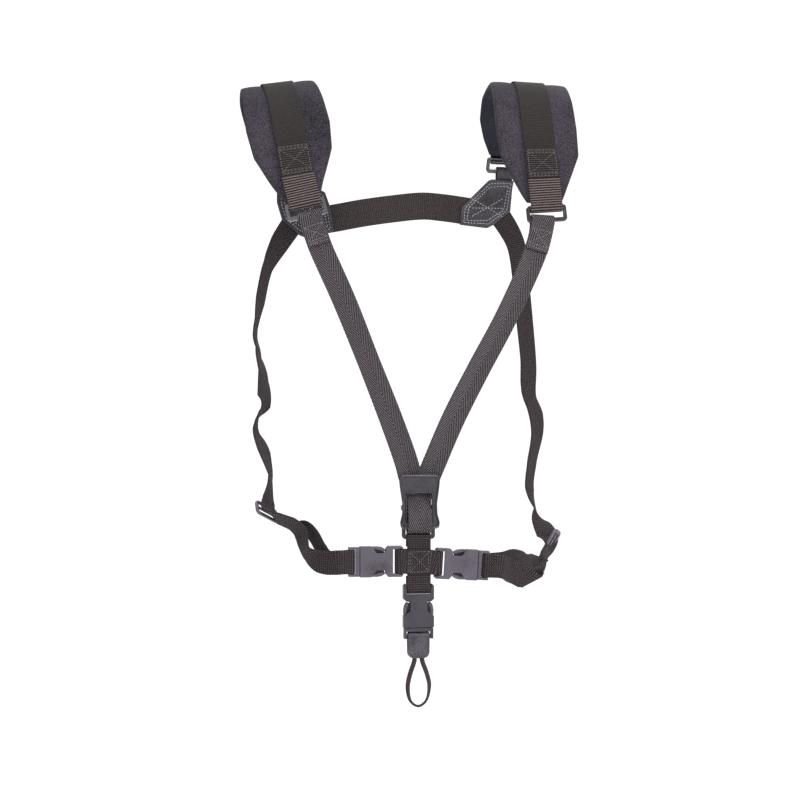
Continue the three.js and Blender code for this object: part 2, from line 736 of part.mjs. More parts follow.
// Lower runs: from the cut end, through the glide, round the plug's bar and back towards the glide
const LEFT_TO_PLUG = [
  [-121.6, -4.2, -275.6, 0.4, 0.8, 0.4],
  [-127, -14, -287, 0.15, 0.9, 0.3],
  [-128.5, -22, -297, 0.15, 0.9, 0.2],
  [-124, -36, -315, 0.37, 0.8, 0.2],
  [-119.5, -46, -337, 0.15, 0.95, 0.2],
  [-121.5, -54, -356, 0.45, 0.85, 0],
  [-122.6, -60, -367.5, 0.62, 0.75, -0.15],
  [-116.5, -67, -374, 0.4, 0.8, -0.45],
  [-107, -71.5, -377.5, 0.2, 0.8, -0.6],
  [-99.5, -76, -382, 0.25, 0.8, -0.55],
  [-93.5, -80, -391, 0.35, 0.9, -0.25],
  [-87, -85, -400.5, 0.2, 0.7, -0.7],
  [-78, -92, -405.6, 0.05, 0.1, -1],
  [-68, -100, -405.3, 0, 0, -1],
];
const LEFT_FROM_PLUG = [
  [-74, -91, -406, 0, 0, -1],
  [-79, -83, -398, -0.05, 0.6, -0.8],
  [-84, -77, -389, -0.1, 0.9, -0.6],
  [-89.5, -71.5, -381, -0.1, 0.95, -0.4],
  [-95, -67, -377, 0.1, 0.95, -0.4],
];
const RIGHT_TO_PLUG = [
  [119.2, 11, -268.8, 0.65, 0.7, 0],
  [122, -4, -284, 0.65, 0.7, 0.1],
  [120, -18, -303, 0.6, 0.75, 0],
  [114, -32, -328, 0.45, 0.85, 0.1],
  [109, -40, -351, 0.3, 0.9, 0.1],
  [112, -45, -371, 0.05, 0.95, -0.1],
  [119.5, -52, -386, 0.55, 0.3, 0.6],
  [121.8, -60.5, -392.5, 0.6, 0, 0.75],
  [121, -68.5, -399, 0.5, 0.4, 0.6],
  [117.5, -73, -408, 0.45, 0.85, 0.3],
  [111.5, -76, -417, 0.4, 0.7, 0.6],
  [102, -80, -421.5, 0.1, 0.3, 0.95],
  [88, -88, -419, 0.05, 0.1, 1],
  [72, -100.2, -411, 0.06, 0, 1],
];
const RIGHT_FROM_PLUG = [
  [74, -91, -409.5, 0.06, 0, 1],
  [90, -84.5, -407, 0.05, 0.1, 1],
  [103, -78.5, -405.5, 0, 0.4, 0.9],
  [111, -75.5, -403.5, 0.2, 0.7, 0.6],
];

// Fold round a side plug's end bar: from the outer face, through the slot, to the inner face.
function plugFold(buckle, across) {
  const bar = buckle.start.clone().addScaledVector(buckle.pull, PLUG_END - END_BAR / 2);
  return turn(bar, buckle.pull.clone().negate(), vec(0, -1, 0), across, BAR_R);
}

const LEFT_END = [...LEFT_TO_PLUG, ...plugFold(SIDE_BUCKLES.left, vec(0, 0, -1)), ...LEFT_FROM_PLUG];
const RIGHT_END = [...RIGHT_TO_PLUG, ...plugFold(SIDE_BUCKLES.right, RIGHT_ACROSS), ...RIGHT_FROM_PLUG];
add('left_strap_end', band(LEFT_END, STRAP_W, WEB_T, 132), WEBBING());
add('right_strap_end', band(RIGHT_END, STRAP_W, WEB_T, 126), WEBBING());

// Tri-glides ride on the side straps where they turn to the buckles.
function glideOn(points, at) {
  const path = new THREE.CatmullRomCurve3(points.map((q) => vec(q[0], q[1], q[2])), false, 'centripetal');
  const across = { points: points.map((q) => vec(q[3], q[4], q[5])) };
  const { p, along, wide, out } = frameAt(path, directionCurve(across, points.length), at / (points.length - 1));
  const geometry = fromManifold(glideGeometry());
  const matrix = new THREE.Matrix4().makeBasis(wide, out.clone().negate(), along);
  if (matrix.determinant() < 0) {
    matrix.makeBasis(wide, out, along);
  }
  geometry.applyMatrix4(matrix.setPosition(p));
  return geometry;
}

add('left_strap_glide', glideOn(LEFT_END, 6), PLASTIC());
add('right_strap_glide', glideOn(RIGHT_END, 7), PLASTIC());

export default harness;
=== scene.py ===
import math

import bpy
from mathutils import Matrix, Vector, noise


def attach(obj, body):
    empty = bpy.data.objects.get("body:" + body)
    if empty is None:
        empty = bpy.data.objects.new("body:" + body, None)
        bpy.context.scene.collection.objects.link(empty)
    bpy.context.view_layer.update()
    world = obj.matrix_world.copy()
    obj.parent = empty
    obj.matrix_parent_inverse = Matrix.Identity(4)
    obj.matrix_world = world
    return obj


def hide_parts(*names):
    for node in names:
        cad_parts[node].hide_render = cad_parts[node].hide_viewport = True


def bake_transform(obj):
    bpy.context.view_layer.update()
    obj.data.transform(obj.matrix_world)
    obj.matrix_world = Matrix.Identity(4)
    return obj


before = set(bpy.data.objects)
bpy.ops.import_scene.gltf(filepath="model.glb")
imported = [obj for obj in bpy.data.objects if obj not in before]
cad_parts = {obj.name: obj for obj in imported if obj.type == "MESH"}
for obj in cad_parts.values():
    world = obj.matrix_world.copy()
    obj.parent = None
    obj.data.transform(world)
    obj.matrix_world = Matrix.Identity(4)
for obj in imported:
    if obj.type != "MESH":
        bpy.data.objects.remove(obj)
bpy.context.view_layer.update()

# Sizes in millimetres
MM = 0.001
STRAP_W = 20
BACK_W = 25
PAD_WEB_W = 27.6
WEB_T = 1.6
GAP = 0.3
PAD_T = 6.5
SKIN_EDGE = 2.2
PAD_WEB_SEAM = 11.8
FOLD_R = 3.7
BAR_R = 3.1
RING_REACH = 11.1
PULL_BAR = 44.4
BUCKLE_LEN = 46
END_BAR = 1.6
COLUMN_X = 0.7
FRONT_Y = -95
LOWER_RING_Z = -381
LOWER_REACH = 4.7
CROSS_Z = -406
HOOK_BUCKLE_Z = -425
PATCH_Y = 82
# Half the thickness of one leather layer
PATCH_HALF_T = 0.85
# How far each fold of webbing reaches past its bar
COLUMN_FOLD, RING_FOLD, CROSS_FOLD = 5.9, 3.3, 4.6
# Heights where the side straps are cut into their upper, middle and lower pieces, and where the lower run has settled
UPPER_CUT, LOWER_CUT, LOWER_SETTLED = -205, -276, -339
# Distance down a tab at which its drawn weave turns from the sewn part to the open fold, in a lighter copy that stands
# in as painted highlight
TAB_HIGHLIGHT_FROM = 28
# Space between the double rows of a box stitch
ROW_GAP = 2.2

# Pad routes along the outer skin, front end to rear end: x, y, z, half width, sideways lean
PADS = {
    "left": [
        (-95.5, -87, -101, 15.5, 0.2), (-99.5, -84, -84, 24, 0.2), (-103, -78, -62, 33.5, 0.18),
        (-106, -66, -38, 36, 0.16), (-108.5, -44, -12, 34, 0.15), (-110, -8, 3.5, 32, 0.14),
        (-108, 26, -5, 32, 0.12), (-103, 50, -21, 30, 0.1), (-97, 65, -37, 24, 0.08), (-92.5, 73, -50, 16.5, 0.05),
    ],
    "right": [
        (111.8, -87, -102, 15.5, 0), (110.5, -84, -84, 24, 0), (109.5, -78, -62, 34, 0),
        (109, -66, -36, 35.5, 0), (110.5, -44, -8, 35, -0.03), (113.5, -8, 8.5, 33.5, -0.04),
        (113, 26, 0, 34, -0.03), (112.5, 50, -16, 31, 0), (112, 65, -32, 24, 0), (111.5, 73, -46, 16.5, 0),
    ],
}
FRONT_SWING = {"left": Vector((0.15, 0, -0.1)), "right": Vector((-0.2, 0, -0.1))}
REAR_SWING = Vector((0, 0.1, -0.5))


# ------------------------------------------------------------------ finishes

def srgb(hex_colour):
    """An sRGB hex colour as the linear colour a shader wants."""
    parts = [int(hex_colour[i:i + 2], 16) / 255 for i in (1, 3, 5)]
    return (*[c / 12.92 if c <= 0.04045 else ((c + 0.055) / 1.055) ** 2.4 for c in parts], 1)


def node(tree, kind, links=(), **settings):
    """Adds a node. Settings are its properties or, as in_NAME or in_NUMBER, its sockets; links are (socket, output).

    A colour ramp's two ends are given as ramp, each a (place, colour).
    """
    made = tree.nodes.new("ShaderNode" + kind)
    for key, value in settings.items():
        if key == "ramp":
            for stop, (place, colour) in zip(made.color_ramp.elements, value):
                stop.position, stop.color = place, srgb(colour)
        elif key.startswith("in_"):
            name = key[3:].replace("_", " ")
            made.inputs[int(name) if name.isdigit() else name].default_value = value
        else:
            setattr(made, key, value)
    for socket, output in links:
        tree.links.new(output, made.inputs[socket])
    return made


def finish(name, slot_values):
    """A material with its shader; the caller links colour, roughness and bump."""
    surface = bpy.data.materials.new(name)
    surface.use_nodes = True
    tree = surface.node_tree
    tree.nodes.clear()
    shader = node(tree, "BsdfPrincipled")
    for key, value in slot_values.items():
        shader.inputs[key].default_value = value
    node(tree, "OutputMaterial", [("Surface", shader.outputs["BSDF"])])
    return surface, tree, shader


def dress(surface, shader, colour, bump, rough=None):
    """Links the colour, the relief and, where it varies, the roughness, and hands over the finished material."""
    links = surface.node_tree.links
    links.new(colour, shader.inputs["Base Color"])
    links.new(bump.outputs["Normal"], shader.inputs["Normal"])
    if rough:
        links.new(rough.outputs[0], shader.inputs["Roughness"])
    return surface


def thread_axes(tree):
    """Millimetres across and along the webbing, from its own thread layout."""
    layout = node(tree, "UVMap", uv_map="threads")
    split = node(tree, "SeparateXYZ", [("Vector", layout.outputs["UV"])])
    return split.outputs["X"], split.outputs["Y"]


def ribbed_webbing(name, rib_mm, thread_mm, groove_shade, crown, worn, relief_mm, rib=0.24, weave=0.26):
    """Woven polypropylene webbing: round weft ribs crossed by packed warp threads that hide them in turn, matt, its
    hollows drawn dark as painted shade.
    """
    surface, tree, shader = finish(name, {"Roughness": 0.75, "IOR": 1.49, "Specular IOR Level": 0.12,
                                          "Sheen Weight": 0.02, "Sheen Roughness": 0.5})
    across, along = thread_axes(tree)
    ribs = node(tree, "Math", [(0, along)], operation="MULTIPLY", in_1=2 * math.pi / rib_mm)
    threads = node(tree, "Math", [(0, across)], operation="MULTIPLY", in_1=2 * math.pi / thread_mm)
    rib_wave = node(tree, "Math", [(0, ribs.outputs[0])], operation="COSINE")
    thread_wave = node(tree, "Math", [(0, threads.outputs[0])], operation="COSINE")
    # each warp thread passes over one rib and under the next
    crossing = node(tree, "Math", [(0, rib_wave.outputs[0]), (1, thread_wave.outputs[0])], operation="MULTIPLY")
    base = node(tree, "Math", [(0, rib_wave.outputs[0])], operation="MULTIPLY_ADD", in_1=rib, in_2=0.28)
    height = node(tree, "Math", [(0, crossing.outputs[0]), (2, base.outputs[0])], operation="MULTIPLY_ADD", in_1=weave)
    place = node(tree, "TexCoord").outputs["Object"]
    fluff = node(tree, "TexNoise", [("Vector", place)], in_Scale=850.0, in_Detail=3.0)
    fade = node(tree, "TexNoise", [("Vector", place)], in_Scale=38.0, in_Detail=3.0)
    level = node(tree, "Math", [(0, fluff.outputs["Fac"]), (2, height.outputs[0])], operation="MULTIPLY_ADD", in_1=0.45)
    # the tone runs from the groove colour in the weave's hollows, painted shade, up to the crowns' own colour
    tone = node(tree, "ValToRGB", [("Fac", level.outputs[0])], ramp=((0.36, groove_shade), (0.86, crown)))
    part = node(tree, "Math", [(0, fade.outputs["Fac"])], operation="MULTIPLY", in_1=0.3)
    faded = node(tree, "Mix", [(0, part.outputs[0]), (6, tone.outputs["Color"])], data_type="RGBA", in_7=srgb(worn))
    bump = node(tree, "Bump", [("Height", level.outputs[0])], in_Strength=0.9, in_Distance=relief_mm * MM)
    return dress(surface, shader, faded.outputs[2], bump)


def herringbone_webbing(name, stripe_mm, twill_mm, groove_shade, crown, relief_mm):
    """Nylon herringbone tape: two stripes of twill lines that meet in a point, the lines of one half drawn stronger as
    painted sheen.
    """
    surface, tree, shader = finish(name, {"Roughness": 0.5, "IOR": 1.53, "Specular IOR Level": 0.25,
                                          "Sheen Weight": 0.02, "Sheen Roughness": 0.4})
    across, along = thread_axes(tree)
    half = node(tree, "Math", [(0, across)], operation="ABSOLUTE")
    lean = node(tree, "Math", [(0, half.outputs[0]), (2, along)], operation="MULTIPLY_ADD", in_1=2.0)
    turns = node(tree, "Math", [(0, lean.outputs[0])], operation="MULTIPLY", in_1=2 * math.pi / twill_mm)
    wave = node(tree, "Math", [(0, turns.outputs[0])], operation="SINE")
    # painted sheen: the twill lines grow stronger across the tape, so that one half reads brighter
    painted_sheen = node(tree, "Math", [(0, across)], operation="MULTIPLY_ADD", in_1=0.12 / stripe_mm, in_2=0.5)
    lines = node(tree, "Math", [(0, wave.outputs[0]), (1, painted_sheen.outputs[0])], operation="MULTIPLY_ADD", in_2=0.3)
    place = node(tree, "TexCoord").outputs["Object"]
    fluff = node(tree, "TexNoise", [("Vector", place)], in_Scale=900.0, in_Detail=3.0)
    fade = node(tree, "TexNoise", [("Vector", place)], in_Scale=45.0, in_Detail=3.0)
    height = node(tree, "Math", [(0, fluff.outputs["Fac"]), (2, lines.outputs[0])], operation="MULTIPLY_ADD", in_1=0.4)
    level = node(tree, "Math", [(0, fade.outputs["Fac"]), (2, height.outputs[0])], operation="MULTIPLY_ADD", in_1=0.2)
    # the tone runs from the groove colour in the twill's hollows, painted shade, up to the crowns' own colour
    tone = node(tree, "ValToRGB", [("Fac", level.outputs[0])], ramp=((0.4, groove_shade), (0.9, crown)))
    bump = node(tree, "Bump", [("Height", height.outputs[0])], in_Strength=0.8, in_Distance=relief_mm * MM)
    return dress(surface, shader, tone.outputs["Color"], bump)


def knit_neoprene(name, low, high):
    """Neoprene sheet faced with fine nylon knit: matt, with a soft grain of stitches and a sheen at grazing angles."""
    surface, tree, shader = finish(name, {"Roughness": 0.9, "IOR": 1.5, "Specular IOR Level": 0.1,
                                          "Sheen Weight": 0.04, "Sheen Roughness": 0.45})
    place = node(tree, "TexCoord").outputs["Object"]
    # knit stitches are 0.3 mm apart, drawn at 0.9 mm so that they show
    stitch = node(tree, "TexVoronoi", [("Vector", place)], in_Scale=1100.0)
    cloud = node(tree, "TexNoise", [("Vector", place)], in_Scale=1050.0, in_Detail=2.0, in_Roughness=0.7)
    broad = node(tree, "TexNoise", [("Vector", place)], in_Scale=20.0, in_Detail=2.0)
    mixed = node(tree, "Math", [(0, stitch.outputs["Distance"]), (2, cloud.outputs["Fac"])],
                 operation="MULTIPLY_ADD", in_1=-0.35)
    level = node(tree, "Math", [(0, broad.outputs["Fac"]), (2, mixed.outputs[0])], operation="MULTIPLY_ADD", in_1=0.35)
    tone = node(tree, "ValToRGB", [("Fac", level.outputs[0])], ramp=((0.27, low), (0.8, high)))
    bump = node(tree, "Bump", [("Height", mixed.outputs[0])], in_Strength=0.45, in_Distance=0.25 * MM)
    return dress(surface, shader, tone.outputs["Color"], bump)


def grain_leather(name, low, high, worn):
    """Drum-dyed side leather, plated: a low pebble grain with a satin finish that pales where it is rubbed."""
    surface, tree, shader = finish(name, {"Roughness": 0.5, "IOR": 1.5, "Specular IOR Level": 0.3,
                                          "Coat Weight": 0.06, "Coat Roughness": 0.35})
    place = node(tree, "TexCoord").outputs["Object"]
    pebble = node(tree, "TexVoronoi", [("Vector", place)], in_Scale=620.0, feature="SMOOTH_F1")
    pores = node(tree, "TexNoise", [("Vector", place)], in_Scale=1500.0, in_Detail=3.0)
    patch = node(tree, "TexNoise", [("Vector", place)], in_Scale=70.0, in_Detail=5.0, in_Roughness=0.65)
    grain = node(tree, "Math", [(0, pores.outputs["Fac"]), (2, pebble.outputs["Distance"])],
                 operation="MULTIPLY_ADD", in_1=0.4)
    tone = node(tree, "ValToRGB", [("Fac", patch.outputs["Fac"])], ramp=((0.36, low), (0.66, high)))
    rubbed = node(tree, "Math", [(0, patch.outputs["Fac"]), (1, grain.outputs[0])], operation="MULTIPLY")
    mix = node(tree, "Mix", [(0, rubbed.outputs[0]), (6, tone.outputs["Color"])], data_type="RGBA", in_7=srgb(worn))
    rough = node(tree, "Math", [(0, pores.outputs["Fac"])], operation="MULTIPLY_ADD", in_1=0.25, in_2=0.36)
    bump = node(tree, "Bump", [("Height", grain.outputs[0])], in_Strength=0.5, in_Distance=0.3 * MM)
    return dress(surface, shader, mix.outputs[2], bump, rough)


def moulded_acetal(name, low, high):
    """Injection-moulded acetal: an even spark-eroded texture, satin, paler and rougher in broad patches."""
    surface, tree, shader = finish(name, {"IOR": 1.48})
    place = node(tree, "TexCoord").outputs["Object"]
    spark = node(tree, "TexNoise", [("Vector", place)], in_Scale=1300.0, in_Detail=3.0)
    flow = node(tree, "TexNoise", [("Vector", place)], in_Scale=60.0, in_Detail=3.0)
    level = node(tree, "Math", [(0, spark.outputs["Fac"]), (1, flow.outputs["Fac"])], operation="ADD")
    tone = node(tree, "ValToRGB", [("Fac", level.outputs[0])], ramp=((0.72, low), (1.0, high)))
    rough = node(tree, "Math", [(0, flow.outputs["Fac"])], operation="MULTIPLY_ADD", in_1=0.25, in_2=0.3)
    bump = node(tree, "Bump", [("Height", spark.outputs["Fac"])], in_Strength=0.25, in_Distance=0.15 * MM)
    return dress(surface, shader, tone.outputs["Color"], bump, rough)


def coated_steel(name, low, high):
    """Steel wire ring dipped in satin black nylon coating: smooth, with a broad soft highlight along the wire."""
    surface, tree, shader = finish(name, {"IOR": 1.53, "Metallic": 0.0, "Coat Weight": 0.3, "Coat Roughness": 0.25})
    place = node(tree, "TexCoord").outputs["Object"]
    dip = node(tree, "TexNoise", [("Vector", place)], in_Scale=240.0, in_Detail=3.0)
    tone = node(tree, "ValToRGB", [("Fac", dip.outputs["Fac"])], ramp=((0.0, low), (1.0, high)))
    rough = node(tree, "Math", [(0, dip.outputs["Fac"])], operation="MULTIPLY_ADD", in_1=0.2, in_2=0.28)
    bump = node(tree, "Bump", [("Height", dip.outputs["Fac"])], in_Strength=0.15, in_Distance=0.2 * MM)
    return dress(surface, shader, tone.outputs["Color"], bump, rough)


def sewing_thread(name, low, high):
    """Bonded nylon thread, twisted in three plies: each stitch has a small sheen of its own."""
    surface, tree, shader = finish(name, {"Roughness": 0.55, "IOR": 1.53, "Specular IOR Level": 0.3})
    place = node(tree, "TexCoord").outputs["Object"]
    ply = node(tree, "TexWave", [("Vector", place)], bands_direction="DIAGONAL",
               in_Scale=900.0, in_Distortion=2.0)
    tone = node(tree, "ValToRGB", [("Fac", ply.outputs["Fac"])], ramp=((0.0, low), (1.0, high)))
    bump = node(tree, "Bump", [("Height", ply.outputs["Fac"])], in_Strength=0.4, in_Distance=0.1 * MM)
    return dress(surface, shader, tone.outputs["Color"], bump)


FINISH = {
    "pad": knit_neoprene("charcoal_knit_neoprene", "#0c0a0f", "#4a444e"),
    # the pad's underside: navy lining knit, drawn darker than the lining's own colour as painted shade
    "lining_and_shade": knit_neoprene("navy_lining_knit_and_painted_shade", "#101117", "#2c2e38"),
    # the first colour given to each webbing and tape is its groove colour, painted shade in the weave's hollows
    "pad_web": ribbed_webbing("close_ribbed_webbing", 1.7, 1.7, "#0b0909", "#3b3535", "#2a2625", 0.25, 0.12, 0.2),
    "back_web": ribbed_webbing("back_strap_webbing", 1.7, 1.7, "#0c0a0a", "#554b4c", "#2c2726", 0.25, 0.12, 0.24),
    # ribs and threads of the 20 mm webbing are drawn a half coarser than real ones so that they show
    "strap_web": ribbed_webbing("coarse_ribbed_webbing", 1.9, 2.2, "#030202", "#51474a", "#2a2423", 0.5, 0.2, 0.34),
    # lighter copy of the tab webbing, used on the tab's fold round its ring as painted highlight
    "fold_web_painted_highlight": ribbed_webbing("tab_fold_webbing_painted_highlight", 2.1, 2.6, "#060405", "#6e6261", "#3a3130", 0.5, 0.34, 0.1),
    "tab_web": ribbed_webbing("pad_tab_webbing", 1.9, 2.3, "#030202", "#463e3f", "#262020", 0.5, 0.3, 0.16),
    "herringbone": herringbone_webbing("herringbone_tape", 10.0, 3.4, "#000000", "#585056", 0.6),
    "patch": grain_leather("slate_side_leather", "#070608", "#201e23", "#4c484f"),
    "tab": grain_leather("hook_tab_leather", "#121013", "#36323a", "#5a555e"),
    "plastic": moulded_acetal("moulded_acetal", "#2c2830", "#4d4752"),
    "frame": moulded_acetal("cinch_acetal", "#1f1b21", "#36313a"),
    # near-black plate set in the gap beside each latch arm: painted shade
    "guide": moulded_acetal("buckle_guide_plastic", "#050507", "#141418"),
    "ring": coated_steel("nylon_coated_steel", "#151317", "#2d2930"),
    "tape_thread": sewing_thread("tape_thread", "#3b363a", "#8b8389"),
    "patch_thread": sewing_thread("patch_thread", "#77727b", "#b8b2bb"),
    "grey_thread": sewing_thread("dark_grey_bonded_thread", "#2c2729", "#6f676a"),
    # near-black thread; on the pad webbing's seams it is drawn this dark as painted shadow lines along the edges
    "dark_thread_and_shadow_line": sewing_thread("dark_bonded_thread_and_painted_shadow_line", "#0b0909", "#262021"),
    "cord": ribbed_webbing("braided_loop_cord", 1.7, 1.7, "#0e0a0b", "#5a5051", "#3a3232", 0.3),
}


# ------------------------------------------------------------------ routes and bands

def on_curve(points, t):
    """Point and direction on the smooth route through the points, drawn as the solids' routes are."""
    last = len(points) - 1
    place = min(max(t, 0), 1) * last
    i = min(int(place), last - 1)
    w = place - i
    b, c = points[i], points[i + 1]
    a = points[i - 1] if i > 0 else 2 * b - c
    d = points[i + 2] if i + 2 <= last else 2 * c - b
    middle = (c - b).length ** 0.5
    before = (b - a).length ** 0.5 or middle
    after = (d - c).length ** 0.5 or middle
    leave = ((b - a) / before - (c - a) / (before + middle) + (c - b) / middle) * middle
    arrive = ((c - b) / middle - (d - b) / (middle + after) + (d - c) / after) * middle
    square = 3 * (c - b) - 2 * leave - arrive
    cube = 2 * (b - c) + leave + arrive
    return b + leave * w + square * w * w + cube * w ** 3, (leave + 2 * square * w + 3 * cube * w * w).normalized()


def between(values, t):
    """Straight between neighbouring values."""
    place = min(max(t, 0) * (len(values) - 1), len(values) - 1.000001)
    i = int(place)
    return values[i].lerp(values[i + 1], place - i)


def even_places(points, step):
    """Route parameters a step apart in length, each with its distance along."""
    fine = 24 * len(points)
    spots = [on_curve(points, k / fine)[0] for k in range(fine + 1)]
    reach = [0.0]
    for p, q in zip(spots, spots[1:]):
        reach.append(reach[-1] + (q - p).length)
    count = max(2, round(reach[-1] / step))
    places, k = [], 0
    for i in range(count + 1):
        s = reach[-1] * i / count
        while k < fine - 1 and reach[k + 1] < s:
            k += 1
        part = (s - reach[k]) / max(reach[k + 1] - reach[k], 1e-9)
        places.append(((k + part) / fine, s))
    return places


def band_frames(route, step):
    """Frames along a band: place, direction, width, outward face and distance.

    A seventh number on a route point lets the width lean there, as it does on the line of a diagonal fold.
    """
    points = [Vector(q[:3]) for q in route]
    widths = [Vector(q[3:6]) for q in route]
    leans = [Vector((q[6] if len(q) > 6 else 0.0, 0, 0)) for q in route]
    frames = []
    for t, s in even_places(points, step):
        p, along = on_curve(points, t)
        wide = between(widths, t)
        wide = (wide - along * wide.dot(along) * (1 - between(leans, t).x)).normalized()
        frames.append((p, along, wide, along.cross(wide).normalized(), s))
    return frames


def pad_frame(table, t):
    """Place on the pad's outer skin with its direction, width, outward face and half width."""
    p, along = on_curve([Vector(q[:3]) for q in table], t)
    half, lean, _ = between([Vector((q[3], q[4], 0)) for q in table], t)
    wide = Vector((1, 0, lean))
    wide = (wide - along * wide.dot(along)).normalized()
    return p, along, wide, wide.cross(along), half


def on_pad(table, start, end, lift, steps):
    """Route points on the pad, raised above its outer skin."""
    points = []
    for i in range(steps + 1):
        p, _, wide, out, _ = pad_frame(table, start + (end - start) * i / steps)
        points.append((*(p + out * lift), *wide))
    return points


def half_circle(steps=6):
    """Angles over half a turn, both ends included."""
    return [math.pi * i / steps for i in range(steps + 1)]


def half_turn(centre, pull, out, wide, radius, steps=6):
    """Half turn round a bar, from its outer side over the far side to the inner side."""
    points = []
    for a in half_circle(steps):
        points.append((*(centre + out * radius * math.cos(a) + pull * radius * math.sin(a)), *wide))
    return points


def pad_end(table, front):
    """Where the tab leaves the pad, which way it pulls, and the place of its ring's upper bar."""
    p, along, wide, out, _ = pad_frame(table, 0 if front else 1)
    pull = -along if front else along
    return {"wide": wide, "out": out, "pull": pull, "bar": p + pull * 4.8 - out * 0.7}


def ring_pull(end, swing):
    """The way a ring hangs from its tab, square to its own width."""
    pull = end["pull"] + swing
    return (pull - end["wide"] * pull.dot(end["wide"])).normalized()


def lower_bar(end, swing):
    """Middle of the ring's far bar."""
    return end["bar"] + ring_pull(end, swing) * RING_REACH


# ------------------------------------------------------------------ mesh building

def piece(name, verts, faces, surface, uvs=None, smooth=True, sharp=35):
    """A mesh object from millimetre points, with its finish, shaded smooth up to the sharp angle."""
    mesh = bpy.data.meshes.new(name)
    mesh.from_pydata([Vector(v) * MM for v in verts], [], faces)
    if uvs:
        layer = mesh.uv_layers.new(name="threads")
        for loop in mesh.loops:
            layer.data[loop.index].uv = uvs[loop.vertex_index]
    mesh.validate()
    mesh.materials.append(surface)
    made = bpy.data.objects.new(name, mesh)
    bpy.context.scene.collection.objects.link(made)
    if smooth:
        mesh.polygons.foreach_set("use_smooth", [True] * len(mesh.polygons))
        mesh.set_sharp_from_angle(angle=math.radians(sharp))
    return made


def tube_faces(rings, count, closed=False):
    """Quads between rings of equal count, with flat caps at open ends."""
    faces = []
    last = rings if closed else rings - 1
    for i in range(last):
        a, b = i * count, (i + 1) % rings * count
        for k in range(count):
            j = (k + 1) % count
            faces.append((a + k, a + j, b + j, b + k))
    if not closed:
        faces.append(tuple(reversed(range(count))))
        faces.append(tuple(range((rings - 1) * count, rings * count)))
    return faces


def band_section(width, thick, cells=10):
    """Points across a band's section, counterclockwise: lower face, edge, upper face, edge."""
    h, r = width / 2, thick / 2
    lower = [(-h + r + (width - thick) * k / cells, -r) for k in range(cells + 1)]
    edge = [(h - r + r * math.cos(a), r * math.sin(a)) for a in (-0.9, -0.3, 0.3, 0.9)]
    return lower + edge + [(-w, -n) for w, n in lower] + [(-w, -n) for w, n in edge]


def band(name, frames, width, thick, surface, picot=0.0, pitch=2.0, shape=None):
    """Woven band along its frames. Its edges pucker by picot at each pitch; shape(s, w, n) may move a point."""
    section = band_section(width, thick)
    verts, uvs = [], []
    for p, _, wide, out, s in frames:
        pucker = picot * math.cos(2 * math.pi * s / pitch)
        for w, n in section:
            edge = max(0.0, abs(w) - width / 2 + 1.6) / 1.6
            ww = w + math.copysign(pucker * edge, w)
            nn = n
            if shape:
                ww, nn = shape(s, ww, nn)
            verts.append(p + wide * ww + out * nn)
            uvs.append((w, s))
    return piece(name, verts, tube_faces(len(frames), len(section)), surface, uvs, sharp=60)


def spot(frames, s, w, lift):
    """Point lifted off a band's outward face at a distance along and across it, with the face's direction."""
    low, high = 0, len(frames) - 1
    while high - low > 1:
        middle = (low + high) // 2
        if frames[middle][4] <= s:
            low = middle
        else:
            high = middle
    a, b = frames[low], frames[high]
    part = (s - a[4]) / max(b[4] - a[4], 1e-9)
    wide, out = a[2].lerp(b[2], part).normalized(), a[3].lerp(b[3], part).normalized()
    return a[0].lerp(b[0], part) + wide * w + out * lift, out


def stitch_verts(verts, faces, a, b, up, radius):
    """One stitch: thread that rises out of the cloth at a and dives again at b."""
    along = (b - a).normalized()
    side = up.cross(along).normalized()
    rise = along.cross(side)
    first = len(verts)
    profile = [(0.0, 0.35, -0.5), (0.15, 0.85, 0.1), (0.5, 1.0, 0.45), (0.85, 0.85, 0.1), (1.0, 0.35, -0.5)]
    for t, size, height in profile:
        centre = a.lerp(b, t) + rise * radius * height
        for k in range(6):
            turn = math.pi * k / 3
            verts.append(centre + (side * math.cos(turn) + rise * math.sin(turn)) * radius * size)
    for f in tube_faces(5, 6):
        faces.append(tuple(first + i for i in f))


def seam(name, lines, place, surface, radius=0.32, length=2.3, gap=0.7):
    """Rows of stitches along lines of (s, w) corners; place(s, w) gives a point and the way up."""
    verts, faces = [], []
    for line in lines:
        for (s0, w0), (s1, w1) in zip(line, line[1:]):
            span = math.hypot(s1 - s0, w1 - w0)
            count = max(1, round(span / (length + gap)))
            for k in range(count):
                t0 = (k + 0.5 * gap / (length + gap)) / count
                t1 = (k + 1 - 0.5 * gap / (length + gap)) / count
                a, up = place(s0 + (s1 - s0) * t0, w0 + (w1 - w0) * t0)
                b, _ = place(s0 + (s1 - s0) * t1, w0 + (w1 - w0) * t1)
                stitch_verts(verts, faces, a, b, up, radius)
    return piece(name, verts, faces, surface, sharp=80)


def sharpened(name, width_mm, surface):
    """A carried-over solid: its corners merged and rounded, and given its finish."""
    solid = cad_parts[name]
    weld = solid.modifiers.new("merge_corners", "WELD")
    weld.merge_threshold = 0.00002
    round_off = solid.modifiers.new("round_edges", "BEVEL")
    round_off.width = width_mm * MM
    round_off.segments = 3
    round_off.angle_limit = math.radians(32)
    round_off.harden_normals = False
    for place in solid.material_slots:
        place.material = surface


# ------------------------------------------------------------------ camera, and the loop that the instrument hangs from

view = bpy.data.cameras.new("camera")
view.lens = 91.07
view.sensor_width = 36
camera = bpy.data.objects.new("camera", view)
camera.location = (-0.2804, -1.7715, -0.2407)
camera.rotation_euler = Vector((0.15641, 0.98754, -0.017452)).to_track_quat("-Z", "Y").to_euler()
bpy.context.scene.collection.objects.link(camera)
bpy.context.scene.camera = camera

